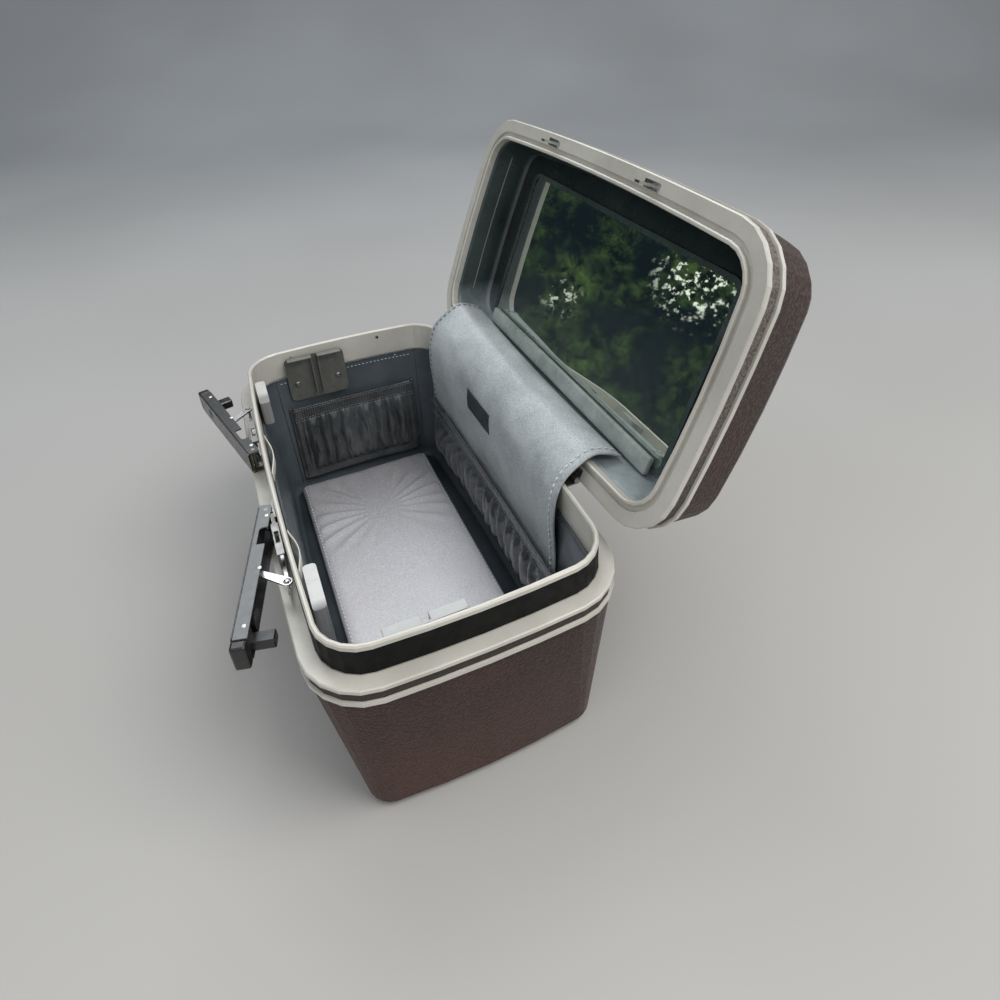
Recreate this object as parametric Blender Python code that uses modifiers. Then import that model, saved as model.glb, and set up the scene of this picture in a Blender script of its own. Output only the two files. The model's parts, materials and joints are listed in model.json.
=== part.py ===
"""Cosmetic train case, standing open: a moulded case with a mirrored lid, two lever latches and a handle.

Metres, +Z up. X runs along the case, -Y is the latch side and +Y the hinge side. The origin is the middle of
the flat underside. The lid, the levers and the handle are drawn shut in their meshes, and the empties that
carry them turn them to the open pose.
"""

import math

import bmesh
import bpy
from mathutils import Matrix, Vector

OBJECT_NAME = "train_case"

# Fits
GAP = 0.0003
SOFT_GAP = 0.0006
RUNNING_GAP = 0.0001
OVERRUN = 0.004
MERGE_DISTANCE = 0.00001
MITRE_MERGE = 0.000025

# Plan outline that both rims share
RIM_WIDTH = 0.360
RIM_DEPTH = 0.1885
RIM_CORNER = 0.035
BOW_LONG = 0.0047
BOW_SHORT = 0.0046
LEAST_CORNER = 0.004
CORNER_STEPS = 5
LONG_STEPS = 8
SHORT_STEPS = 4

# Base body
LEDGE_HEIGHT = 0.1334
BODY_TAPER_ENDS = 0.01375
BODY_TAPER_SIDES = 0.018
BOTTOM_CORNER = 0.013
BOTTOM_ROUND = 0.006
ROUND_SHARES = ((1.0, 0.0), (0.293, 0.293), (0.0, 1.0))
SHELL_WALL = 0.003
SHELL_SETBACK = 0.0015

# Rim profile: ridge, recess with its grained strip, second rib
FRAME_TALL = 0.0137
RIDGE_TALL = 0.003
RIB_TALL = 0.0033
STRIP_RECESS = 0.0024
STRIP_THICK = 0.0008
EDGE_ROUND = 0.0007
SOFT_EDGE_ROUND = 0.0014
FRAME_WALL = 0.0042
LEDGE_THICK = 0.0025

# Upright collar inside the base rim
LEDGE_WIDE = 0.0098
COLLAR_TALL = 0.0213
COLLAR_FOOT = 0.022
BEAD_WIDE = 0.003
BEAD_TALL = 0.0035
BEAD_ROUND = 0.0009
BAND_THICK = 0.0006

# Linings and soft pieces
LINING_THICK = 0.0015
HEM_DROP = 0.0034
LINING_TURN_HEIGHT = 0.012
PAD_END_MARGIN = 0.00525
PAD_SIDE_MARGIN = 0.01225
PAD_CORNER = 0.012
PAD_THICK = 0.0095
PAD_CROWN = 0.003
PAD_EDGE = 0.0025
PAD_PUCKER = 0.0007
PAD_PUCKERS = 18
PAD_POINTS_LONG = 26
PAD_POINTS_SHORT = 12
PAD_RING_SHARES = ((1.0, 0.0), (0.0, 0.45), (0.35, 0.85), (1.6, 1.0))
PAD_TOP_SHARES = ((0.22, 0.55), (0.48, 0.85), (0.74, 1.0))
FAR_END_WEIGHT_SHARE = 0.65
POCKET_BAND_TALL = 0.012
POCKET_BAND_THICK = 0.0022
POCKET_FULLNESS = 0.0055
FOLD_DEPTH = 0.0024
POCKET_STATIONS_PER_FOLD = 5
POCKET_MIDDLE_SHARE = 0.5
POCKET_FRONT_SHARES = ((0.75, 0.80), (1.0, 0.52), (0.85, 0.24))
FOLD_PHASE_STEP = 0.7
SLOW_FOLD_SHARE = 0.37
SLOW_FOLD_DEPTH_SHARE = 0.5
SLOW_FOLD_PHASE = 1.3
SIDE_POCKET_LOW = 0.0175
SIDE_POCKET_UNDER_BRACKET = 0.007
SIDE_POCKET_MARGIN = 0.01725
SIDE_POCKET_FOLDS = 10
BACK_POCKET_LOW = 0.0165
BACK_POCKET_DROP = 0.0594
BACK_POCKET_MARGIN = 0.01825
BACK_POCKET_FOLDS = 17

# Tray brackets on the short walls
BRACKET_FROM_FRONT = 0.06625
BRACKET_SPAN = 0.0525
BRACKET_DROP = 0.0284
BRACKET_RISE = 0.0156
BRACKET_THICK = 0.0013
BRACKET_LIP = 0.0075
BRACKET_CHANNEL_WIDE = 0.0046
BRACKET_FIN_DEEP = 0.0062
BRACKET_CORNER = 0.005
SCREW_HEAD = 0.0027
SCREW_HEAD_TALL = 0.0012
SCREW_SHANK = 0.0012
SCREW_SPREAD = 0.0184
SCREW_DROP = 0.0114
SCREW_DOME_SHARES = ((0.6, 0.85), (1.0, 0.3))
HOLE_SIDES = 12

# Lid, in its shut place
LAND_GAP = 0.0195
LID_TALL = 0.053
LID_TOP_ROUND = 0.020
LID_DRAFT = 0.0035
LID_WALL = 0.0025
LID_ROUND_STEPS = 4
LID_BEAD_WIDE = 0.0027
LID_BEAD_DROP = 0.0010
GROOVE_ROOF = 0.0024
LID_OPEN_ANGLE = math.radians(111.56)
HINGE_OUT = 0.00305
HINGE_RISE = 0.0188
PANEL_DEEP = 0.0352
PANEL_DRAFT = 0.0035
MIRROR_END_MARGIN = 0.045
MIRROR_SIDE_MARGIN = 0.02925
MIRROR_CENTRE_Y = 0.006
MIRROR_THICK = 0.0025
MIRROR_CORNER = 0.007
BEZEL_WIDE = 0.004
BEZEL_LIP = 0.0015
BEZEL_TALL = 0.0034
STRIP_BAR_END_MARGIN = 0.007
STRIP_BAR_WIDE = 0.013
STRIP_BAR_TALL = 0.0045
STRIP_BAR_INSET = 0.02475

# Hinges
HINGE_FROM_END = 0.095
HINGE_LENGTH = 0.036
HINGE_MIDDLE = 0.012
KNUCKLE_RADIUS = 0.0025
HINGE_PIN_RADIUS = 0.0012
LEAF_THICK = 0.0010
BASE_LEAF_RISE = 0.0028
LID_LEAF_REACH = 0.0073

# Hinge cover of padded vinyl
FLAP_LEFT_MARGIN = 0.030
FLAP_RIGHT_MARGIN = 0.075
FLAP_THICK = 0.0012
FLAP_UNDER_POCKET_TOP = 0.006
FLAP_STATIONS = 12
FLAP_OFF_LINING = 0.0012
FLAP_OFF_BEAD = 0.0010
FLAP_OVER_BEAD = 0.0028
FLAP_OFF_LID = 0.0014
FLAP_SLACK = 0.0030
FLAP_LID_END = 0.0258
FLAP_HEIGHT_SHARES = (0.0, 0.36, 0.72, 0.93)
FLAP_LID_SHARES = ((-0.035, 0.0), (0.14, 0.5), (0.55, 0.9), (1.0, 0.0))
FLAP_STEPS = 3

# Handle
HANDLE_PIVOT_FROM_END = 0.068
HANDLE_REACH = 0.042
HANDLE_END_OUT = 0.012
HANDLE_RISE = 0.0105
GRIP_HALF_WIDE = 0.010
GRIP_HALF_TALL = 0.0070
ARM_HALF_WIDE = 0.0034
ARM_HALF_TALL = 0.0045
HANDLE_TURN = 0.020
HANDLE_TURN_STEPS = 5
HANDLE_SIDES = 12
SHOULDER_SHARES = (0.5, 0.2, 0.15)
TURN_START_SHARE = 0.35
GRIP_SHARES = (0.66, 0.33, 0.0)
PIVOT_SIDES = 18
BOSS_RADIUS = 0.0052
BOSS_LENGTH = 0.007
POST_THICK = 0.007
POST_HALF_WIDE = 0.006
POST_FOOT_LENGTH = 0.020
POST_FOOT_WIDE = 0.020
POST_FOOT_TALL = 0.0016
POST_PIN_RADIUS = 0.0025

# Latches, drawn shut for the right-hand one
LEVER_PIVOT_FROM_END = 0.144
LEVER_PIVOT_OUT = 0.00025
LEVER_OPEN_ANGLE = math.radians(14.4)
LEVER_TALL = 0.0166
LEVER_FLOAT = 0.0009
LEVER_SHEET = 0.0010
LEVER_START = 0.0045
LEVER_LENGTH = 0.1025
LEVER_WEB_OUT = 0.0040
LEVER_EDGE_IN = 0.0035
LEVER_MOUTH_START = 0.0170
LEVER_MOUTH_END = 0.0320
LEVER_MOUTH_DEEP = 0.0050
COVER_THICK = 0.0008
COVER_MARGIN = 0.0005
EAR_RADIUS = 0.0026
EAR_THICK = 0.0012
MOUNT_HALF_WIDE = 0.0085
MOUNT_THICK = 0.0011
LEVER_PIN_RADIUS = 0.0015
CAP_LENGTH = 0.0065
CAP_TONGUE = 0.0112
NOSE_FROM_END = 0.0110
NOSE_LONG = 0.0080
NOSE_RISE = 0.0026
NOSE_TALL = 0.0068
NOSE_REACH = 0.0155
NOSE_SWING = 0.0012
BARREL_FROM_END = 0.0195
BARREL_RADIUS = 0.0058
BARREL_SIDES = 20
BARREL_REACH = 0.0070
KEYWAY_RADIUS = 0.0036
KEYWAY_SLOT_LONG = 0.0044
KEYWAY_SLOT_WIDE = 0.0009
KEYWAY_SLOT_DEEP = 0.0012
LINK_PIN_X = 0.052
LINK_PIN_Y = 0.002
LINK_PIN_RADIUS = 0.0012
LINK_THICK = 0.0012
LINK_RISE = 0.0128
LINK_EYE_WALL = 0.0007
LINK_SLACK = 0.0014
BOLT_PIN_RADIUS = 0.0009
BOLT_PIN_FROM_PIVOT = 0.065
BOLT_INSET = 0.00275
BOLT_TRAVEL = 0.0078
BOLT_THICK = 0.0020
BOLT_RISE = 0.0046
BOLT_BAR_TALL = 0.0032
BOLT_HOOK_FROM_PIVOT = 0.0150
BOLT_HOOK_WALL = 0.0022
BOLT_FINGER_REACH = 0.0030
BOLT_FINGER_TALL = 0.0024
BOLT_FINGER_LIFT = 0.0058
BOLT_PAST_PIN = 0.0025
GUIDE_FROM_PIVOT = 0.0130
GUIDE_LENGTH = 0.030
GUIDE_RISE = 0.0032
GUIDE_TALL = 0.0118
GUIDE_WALL = 0.0009
GUIDE_MOUTH_IN = 0.0080
GUIDE_MOUTH_LENGTH = 0.011
STRIKE_FROM_PIVOT = 0.0295
STRIKE_STEM = 0.0022
STRIKE_NOSE = 0.0029
STRIKE_NOSE_TALL = 0.0016
STRIKE_RISE = 0.0084
STRIKE_PLATE_LENGTH = 0.015
STRIKE_PLATE_WIDE = 0.0052
STRIKE_PLATE_THICK = 0.0009
LOCK_FROM_PIVOT = 0.061
LOCK_TOP_LENGTH = 0.037
LOCK_LOW_LENGTH = 0.050
LOCK_DEEP = 0.0078
LOCK_RISE = 0.0171
LOCK_WALL = 0.0012
LOCK_ROUND = 0.0025

# What follows from the sizes above
RIM_HALF_WIDTH = RIM_WIDTH / 2
RIM_HALF_DEPTH = RIM_DEPTH / 2
BOTTOM_WIDTH = RIM_WIDTH - 2 * BODY_TAPER_ENDS
BOTTOM_DEPTH = RIM_DEPTH - 2 * BODY_TAPER_SIDES
HEM_HEIGHT = LEDGE_HEIGHT - HEM_DROP
BRACKET_CENTRE_Y = BRACKET_FROM_FRONT - RIM_HALF_DEPTH
BRACKET_LOW = LEDGE_HEIGHT - BRACKET_DROP
BRACKET_TOP = LEDGE_HEIGHT + BRACKET_RISE
SCREW_HEIGHT = LEDGE_HEIGHT - SCREW_DROP
SIDE_POCKET_TOP = BRACKET_LOW - SIDE_POCKET_UNDER_BRACKET
BACK_POCKET_TOP = LEDGE_HEIGHT - BACK_POCKET_DROP
FLAP_LOW = BACK_POCKET_TOP - FLAP_UNDER_POCKET_TOP
BASE_LEAF_LOW = LEDGE_HEIGHT + BASE_LEAF_RISE
NOSE_LOW = LEDGE_HEIGHT + NOSE_RISE
NOSE_TOP = NOSE_LOW + NOSE_TALL
LINK_HEIGHT = LEDGE_HEIGHT + LINK_RISE
BOLT_LOW = LEDGE_HEIGHT + BOLT_RISE
GUIDE_LOW = LEDGE_HEIGHT + GUIDE_RISE
STRIKE_LOW = LEDGE_HEIGHT + STRIKE_RISE
LOCK_TOP = LEDGE_HEIGHT + LOCK_RISE
COLLAR_TOP = LEDGE_HEIGHT + COLLAR_TALL
LAND_HEIGHT = LEDGE_HEIGHT + LAND_GAP
SHELL_TOP = LEDGE_HEIGHT - FRAME_TALL - GAP
GROOVE_DEEP = COLLAR_TOP - LAND_HEIGHT + GAP
GROOVE_OUTER = LEDGE_WIDE - GAP
GROOVE_INNER = LEDGE_WIDE + BEAD_WIDE + GAP
LAND_THICK = GROOVE_DEEP + GROOVE_ROOF
LID_INNER = GROOVE_INNER + LID_BEAD_WIDE
COLLAR_INNER = LEDGE_WIDE + BEAD_WIDE
LID_TOP = LAND_HEIGHT + LID_TALL
LINING_FLOOR = SHELL_WALL + GAP + LINING_THICK
PAD_LENGTH = BOTTOM_WIDTH - 2 * PAD_END_MARGIN
PAD_DEPTH = BOTTOM_DEPTH - 2 * PAD_SIDE_MARGIN
SIDE_POCKET_SPAN = BOTTOM_DEPTH - 2 * SIDE_POCKET_MARGIN
BACK_POCKET_SPAN = BOTTOM_WIDTH - 2 * BACK_POCKET_MARGIN
MIRROR_LENGTH = RIM_WIDTH - 2 * MIRROR_END_MARGIN
MIRROR_DEPTH = RIM_DEPTH - 2 * MIRROR_SIDE_MARGIN
STRIP_BAR_LENGTH = MIRROR_LENGTH - 2 * STRIP_BAR_END_MARGIN
STRIP_BAR_CENTRE_Y = RIM_HALF_DEPTH - STRIP_BAR_INSET
HINGE_CENTRE_X = RIM_HALF_WIDTH - HINGE_FROM_END
HINGE_Y = RIM_HALF_DEPTH + HINGE_OUT
HINGE_Z = LEDGE_HEIGHT + HINGE_RISE
FLAP_LEFT = FLAP_LEFT_MARGIN - RIM_HALF_WIDTH
FLAP_RIGHT = RIM_HALF_WIDTH - FLAP_RIGHT_MARGIN
HANDLE_PIVOT_X = RIM_HALF_WIDTH - HANDLE_PIVOT_FROM_END
LEVER_PIVOT_X = RIM_HALF_WIDTH - LEVER_PIVOT_FROM_END
LEVER_PIVOT_Y = -RIM_HALF_DEPTH - LEVER_PIVOT_OUT
BOLT_Y = BOLT_INSET - RIM_HALF_DEPTH
BOLT_PIN_X = LEVER_PIVOT_X + BOLT_PIN_FROM_PIVOT
BOLT_HOOK_START = LEVER_PIVOT_X + BOLT_HOOK_FROM_PIVOT
BOLT_END = BOLT_PIN_X + BOLT_PAST_PIN
GUIDE_START = LEVER_PIVOT_X + GUIDE_FROM_PIVOT
GUIDE_END = GUIDE_START + GUIDE_LENGTH
GUIDE_MOUTH_START = GUIDE_START + GUIDE_MOUTH_IN
GUIDE_MOUTH_END = GUIDE_MOUTH_START + GUIDE_MOUTH_LENGTH
STRIKE_X = LEVER_PIVOT_X + STRIKE_FROM_PIVOT
LOCK_START = LEVER_PIVOT_X + LOCK_FROM_PIVOT
LOCK_TOP_END = LOCK_START + LOCK_TOP_LENGTH
LOCK_LOW_END = LOCK_START + LOCK_LOW_LENGTH
NOSE_START = LEVER_LENGTH - NOSE_FROM_END
NOSE_END = NOSE_START + NOSE_LONG
BARREL_X = LEVER_LENGTH - BARREL_FROM_END
LEVER_LOW = LEDGE_HEIGHT + LEVER_FLOAT
LEVER_TOP = LEVER_LOW + LEVER_TALL
LEVER_MIDDLE = (LEVER_LOW + LEVER_TOP) / 2

# Turns that stand a flat outline up: extruded along X, or along Y
ALONG_X = Matrix(((0, 0, 1, 0), (1, 0, 0, 0), (0, 1, 0, 0), (0, 0, 0, 1)))
ALONG_Y = Matrix(((1, 0, 0, 0), (0, 0, -1, 0), (0, 1, 0, 0), (0, 0, 0, 1)))


def clear_scene():
    for obj in list(bpy.data.objects):
        bpy.data.objects.remove(obj, do_unlink=True)


def material(name, colour, roughness, metallic=0.0):
    made = bpy.data.materials.new(name)
    made.use_nodes = True
    shader = made.node_tree.nodes["Principled BSDF"]
    shader.inputs["Base Color"].default_value = (*colour, 1.0)
    shader.inputs["Roughness"].default_value = roughness
    shader.inputs["Metallic"].default_value = metallic
    return made


def new_mesh(bm, name="shape"):
    bmesh.ops.recalc_face_normals(bm, faces=bm.faces)
    mesh = bpy.data.meshes.new(name)
    bm.to_mesh(mesh)
    bm.free()
    return mesh


def evaluated_mesh(data, modifiers=()):
    """Mesh of a curve or mesh datablock once the modifiers, given as (type, settings), have run on it."""
    obj = bpy.data.objects.new("shaping", data)
    bpy.context.scene.collection.objects.link(obj)
    for kind, settings in modifiers:
        modifier = obj.modifiers.new(kind.lower(), kind)
        for setting, value in settings.items():
            setattr(modifier, setting, value)
    bpy.context.view_layer.update()
    graph = bpy.context.evaluated_depsgraph_get()
    mesh = bpy.data.meshes.new_from_object(obj.evaluated_get(graph))
    bpy.data.objects.remove(obj, do_unlink=True)
    return mesh


def combine(mesh, operation, tools):
    """The mesh with each tool mesh cut from it (DIFFERENCE) or joined to it (UNION)."""
    helpers = []
    for tool in tools:
        helper = bpy.data.objects.new("tool", tool)
        helper.hide_render = True
        helper.display_type = "WIRE"
        bpy.context.scene.collection.objects.link(helper)
        helpers.append(helper)
    steps = [("BOOLEAN", {"object": helper, "operation": operation}) for helper in helpers]
    made = evaluated_mesh(mesh, steps)
    for helper in helpers:
        bpy.data.objects.remove(helper, do_unlink=True)
    return made


def cut(mesh, *tools):
    return combine(mesh, "DIFFERENCE", tools)


def join(mesh, *tools):
    return combine(mesh, "UNION", tools)


def moved(mesh, matrix):
    mesh.transform(matrix)
    return mesh


def mirrored(mesh):
    """Copy for the left-hand side."""
    bm = bmesh.new()
    bm.from_mesh(mesh)
    bmesh.ops.scale(bm, vec=(-1, 1, 1), verts=bm.verts)
    return new_mesh(bm)


def box(low, high, rounding=0.0, steps=2):
    """Box between two corners, with all its edges rounded if asked."""
    bm = bmesh.new()
    bmesh.ops.create_cube(bm, size=1)
    size = [b - a for a, b in zip(low, high)]
    middle = [(a + b) / 2 for a, b in zip(low, high)]
    bmesh.ops.scale(bm, vec=size, verts=bm.verts)
    bmesh.ops.translate(bm, vec=middle, verts=bm.verts)
    if rounding:
        bmesh.ops.bevel(bm, geom=bm.edges, offset=rounding, segments=steps, profile=0.5, affect="EDGES")
    return new_mesh(bm)


def rod(radius, start, end, sides=16, end_radius=None):
    """Cylinder or cone between two points."""
    start = Vector(start)
    end = Vector(end)
    run = end - start
    bm = bmesh.new()
    bmesh.ops.create_cone(
        bm,
        cap_ends=True,
        segments=sides,
        radius1=radius,
        radius2=radius if end_radius is None else end_radius,
        depth=run.length,
    )
    turn = Vector((0, 0, 1)).rotation_difference(run).to_matrix().to_4x4()
    bmesh.ops.transform(bm, matrix=Matrix.Translation((start + end) / 2) @ turn, verts=bm.verts)
    return new_mesh(bm)


def plate(outlines, thickness):
    """Flat piece about the XY plane: the first outline is its edge and the others are holes."""
    curve = bpy.data.curves.new("outline", "CURVE")
    curve.dimensions = "2D"
    curve.fill_mode = "BOTH"
    curve.extrude = thickness / 2
    for points in outlines:
        spline = curve.splines.new("POLY")
        spline.points.add(len(points) - 1)
        for point, (x, y) in zip(spline.points, points):
            point.co = (x, y, 0, 1)
        spline.use_cyclic_u = True
    mesh = evaluated_mesh(curve)
    bm = bmesh.new()
    bm.from_mesh(mesh)
    bmesh.ops.remove_doubles(bm, verts=bm.verts, dist=MERGE_DISTANCE)
    return new_mesh(bm)


def arc(centre, radius, start_degrees, end_degrees, steps):
    """Points on an arc in the plane, both ends included."""
    span = end_degrees - start_degrees
    angles = [math.radians(start_degrees + span * step / steps) for step in range(steps + 1)]
    return [(centre[0] + radius * math.cos(a), centre[1] + radius * math.sin(a)) for a in angles]


def circle(centre, radius, sides=HOLE_SIDES):
    return arc(centre, radius, 0, 360 - 360 / sides, sides - 1)


def rounded_rectangle(width, depth, corner, corner_steps=4, centre=(0, 0)):
    """Corner arcs of a rectangle, counter-clockwise."""
    reach_x = width / 2 - corner
    reach_y = depth / 2 - corner
    points = []
    for number, (sx, sy) in enumerate(((1, 1), (-1, 1), (-1, -1), (1, -1))):
        middle = (centre[0] + sx * reach_x, centre[1] + sy * reach_y)
        points += arc(middle, corner, 90 * number, 90 * (number + 1), corner_steps)
    return points


def with_straights(corners, corner_steps, long_steps, short_steps):
    """Adds even points between the four corner arcs of a rounded rectangle."""
    points = []
    per_corner = corner_steps + 1
    for number in range(4):
        points += corners[number * per_corner : (number + 1) * per_corner]
        start = Vector(points[-1])
        end = Vector(corners[((number + 1) * per_corner) % len(corners)])
        steps = long_steps if number % 2 == 0 else short_steps
        points += [tuple(start.lerp(end, step / steps)) for step in range(1, steps)]
    return points


def bowed(x, y, half_width, half_depth):
    """Where a point of the straight outline lies once the four sides bow outwards."""
    share_x = min(abs(x) / half_width, 1)
    share_y = min(abs(y) / half_depth, 1)
    out_x = math.copysign(BOW_SHORT * (1 - share_y**2) * share_x**2, x)
    out_y = math.copysign(BOW_LONG * (1 - share_x**2) * share_y**2, y)
    return x + out_x, y + out_y


def case_ring(height, inset=0.0, width=RIM_WIDTH, depth=RIM_DEPTH, corner=RIM_CORNER):
    """The case's plan outline at a height, drawn in all round by the inset."""
    wide = width - 2 * inset
    deep = depth - 2 * inset
    radius = max(corner - inset, LEAST_CORNER)
    straight = with_straights(
        rounded_rectangle(wide, deep, radius, CORNER_STEPS), CORNER_STEPS, LONG_STEPS, SHORT_STEPS
    )
    return [(*bowed(x, y, wide / 2, deep / 2), height) for x, y in straight]


def rim_reach_y(x, inset=0.0):
    """How far out the rim's long side lies at x, away from the corners."""
    return RIM_HALF_DEPTH - inset + BOW_LONG * (1 - (x / (RIM_HALF_WIDTH - inset)) ** 2)


def rim_reach_x(y, inset=0.0):
    return RIM_HALF_WIDTH - inset + BOW_SHORT * (1 - (y / (RIM_HALF_DEPTH - inset)) ** 2)


def body_outline(height):
    """Width, depth and corner radius of the base shell's outside at a height."""
    share = height / SHELL_TOP
    return (
        BOTTOM_WIDTH + (RIM_WIDTH - 2 * SHELL_SETBACK - BOTTOM_WIDTH) * share,
        BOTTOM_DEPTH + (RIM_DEPTH - 2 * SHELL_SETBACK - BOTTOM_DEPTH) * share,
        BOTTOM_CORNER + (RIM_CORNER - SHELL_SETBACK - BOTTOM_CORNER) * share,
    )


def body_ring(height, inset=0.0, at=None):
    """Ring of the base body, with the taper read at one height and the ring placed at another if asked."""
    width, depth, corner = body_outline(height if at is None else at)
    return case_ring(height, inset, width, depth, corner)


def loft(rings, endless=False):
    """Solid through rings of equally many points: capped at both ends, or closed on itself."""
    bm = bmesh.new()
    loops = [[bm.verts.new(point) for point in ring] for ring in rings]
    pairs = list(zip(loops, loops[1:]))
    if endless:
        pairs.append((loops[-1], loops[0]))
    else:
        bm.faces.new(loops[0])
        bm.faces.new(loops[-1])
    for below, above in pairs:
        for i in range(len(below)):
            j = (i + 1) % len(below)
            bm.faces.new((below[i], below[j], above[j], above[i]))
    return new_mesh(bm)


def rim_section(profile):
    """Solid all round the rim from a closed profile of (inset, height) points."""
    return loft([case_ring(height, inset) for inset, height in profile], endless=True)


class Assembly:
    """Places finished meshes as named objects with their materials, under the empties of the bodies."""

    def __init__(self):
        self.parts = bpy.data.collections.new(OBJECT_NAME)
        self.axes = bpy.data.collections.new(OBJECT_NAME + "_axes")
        for collection in (self.parts, self.axes):
            bpy.context.scene.collection.children.link(collection)

    def axis(self, name, pivot, turn=(0, 0, 0), parent=None):
        """Empty on a joint's axis, at a point given in the shut pose."""
        empty = bpy.data.objects.new(name, None)
        empty["pivot"] = tuple(pivot)
        empty.parent = parent
        base = Vector(parent["pivot"]) if parent else Vector((0, 0, 0))
        empty.location = Vector(pivot) - base
        empty.rotation_euler = turn
        self.axes.objects.link(empty)
        return empty

    def add(self, name, mesh, finish, parent=None, smooth=35):
        """Object whose mesh is drawn in shut-pose world coordinates."""
        mesh.name = name
        mesh.materials.clear()
        mesh.materials.append(finish)
        if smooth:
            mesh.shade_smooth()
            mesh.set_sharp_from_angle(angle=math.radians(smooth))
        obj = bpy.data.objects.new(name, mesh)
        obj.parent = parent
        if parent:
            obj.location = -Vector(parent["pivot"])
        self.parts.objects.link(obj)
        return obj


def tray(outer, inner):
    """Open-topped shell: up the outside, over the lip and down the inside."""
    return loft(outer + inner)


def base_shell():
    outer = [body_ring(BOTTOM_ROUND * up, BOTTOM_ROUND * side) for side, up in ROUND_SHARES]
    outer.append(body_ring(SHELL_TOP))
    inside_round = BOTTOM_ROUND - SHELL_WALL
    inner = [body_ring(SHELL_TOP, SHELL_WALL)]
    for side, up in reversed(ROUND_SHARES):
        inner.append(body_ring(SHELL_WALL + inside_round * up, SHELL_WALL + inside_round * side))
    return tray(outer, inner)


def rim_outside(meeting, direction):
    """Outside of a rim from its meeting edge: ridge, recess for the strip, second rib."""
    step = EDGE_ROUND / 2
    rib_start = FRAME_TALL - RIB_TALL
    drops = (
        (EDGE_ROUND, 0),
        (0, EDGE_ROUND),
        (0, RIDGE_TALL),
        (STRIP_RECESS, RIDGE_TALL + step),
        (STRIP_RECESS, rib_start - step),
        (0, rib_start),
        (0, FRAME_TALL - EDGE_ROUND),
        (EDGE_ROUND, FRAME_TALL),
    )
    return [(inset, meeting + direction * drop) for inset, drop in drops]


def trim_strip(meeting, direction):
    """Grained strip laid in the recess of a rim."""
    step = EDGE_ROUND / 2
    near = meeting + direction * (RIDGE_TALL + step + GAP)
    far = meeting + direction * (FRAME_TALL - RIB_TALL - step - GAP)
    deep = STRIP_RECESS - GAP
    return rim_section([(deep - STRIP_THICK, near), (deep - STRIP_THICK, far), (deep, far), (deep, near)])


def base_frame():
    under_ledge = LEDGE_HEIGHT - LEDGE_THICK
    inner = LEDGE_WIDE - GAP
    profile = rim_outside(LEDGE_HEIGHT, -1)
    profile += [(FRAME_WALL, LEDGE_HEIGHT - FRAME_TALL), (FRAME_WALL, under_ledge)]
    profile += [(inner, under_ledge), (inner, LEDGE_HEIGHT)]
    return rim_section(profile)


def base_collar():
    """Upright collar with a rounded bead on top and a shallow seat for the black band round its outside."""
    foot = LEDGE_HEIGHT - COLLAR_FOOT
    band_seat = LEDGE_WIDE + BAND_THICK + GAP
    under_bead = COLLAR_TOP - BEAD_TALL
    profile = [
        (LEDGE_WIDE, foot),
        (LEDGE_WIDE, LEDGE_HEIGHT),
        (band_seat, LEDGE_HEIGHT),
        (band_seat, under_bead),
        (LEDGE_WIDE, under_bead),
        (LEDGE_WIDE, COLLAR_TOP - BEAD_ROUND),
        (LEDGE_WIDE + BEAD_ROUND, COLLAR_TOP),
        (COLLAR_INNER - BEAD_ROUND, COLLAR_TOP),
        (COLLAR_INNER, COLLAR_TOP - BEAD_ROUND),
        (COLLAR_INNER, foot),
    ]
    return cut(rim_section(profile), nose_slot(), mirrored(nose_slot()))


def collar_band():
    low = LEDGE_HEIGHT + GAP
    high = COLLAR_TOP - BEAD_TALL - GAP
    inner = LEDGE_WIDE + BAND_THICK
    ring = rim_section([(LEDGE_WIDE, low), (LEDGE_WIDE, high), (inner, high), (inner, low)])
    return cut(ring, nose_slot(), mirrored(nose_slot()))


def base_lining():
    shell_gap = SHELL_WALL + GAP
    turn = BOTTOM_ROUND - SHELL_WALL
    outer = [body_ring(shell_gap + turn * up, shell_gap + turn * side) for side, up in ROUND_SHARES[:2]]
    outer.append(body_ring(LINING_TURN_HEIGHT, shell_gap))
    outer.append(case_ring(HEM_HEIGHT, COLLAR_INNER + GAP))
    within = shell_gap + LINING_THICK
    inner = [case_ring(HEM_HEIGHT, COLLAR_INNER + GAP + LINING_THICK), body_ring(LINING_TURN_HEIGHT, within)]
    inner += [body_ring(within + turn * up, within + turn * side) for side, up in reversed(ROUND_SHARES[:2])]
    return tray(outer, inner)


def lining_half_sizes(height):
    """Half length and half depth of the base lining's inner face at a height."""
    share = (height - LINING_TURN_HEIGHT) / (HEM_HEIGHT - LINING_TURN_HEIGHT)
    width, depth, _ = body_outline(LINING_TURN_HEIGHT)
    low_inset = SHELL_WALL + GAP + LINING_THICK
    high_inset = COLLAR_INNER + GAP + LINING_THICK
    low = (width / 2 - low_inset, depth / 2 - low_inset)
    high = (RIM_HALF_WIDTH - high_inset, RIM_HALF_DEPTH - high_inset)
    return tuple(a + (b - a) * share for a, b in zip(low, high))


def lining_x(y, height):
    half_width, half_depth = lining_half_sizes(height)
    return half_width + BOW_SHORT * (1 - (y / half_depth) ** 2)


def lining_y(x, height):
    half_width, half_depth = lining_half_sizes(height)
    return half_depth + BOW_LONG * (1 - (x / half_width) ** 2)


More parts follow.
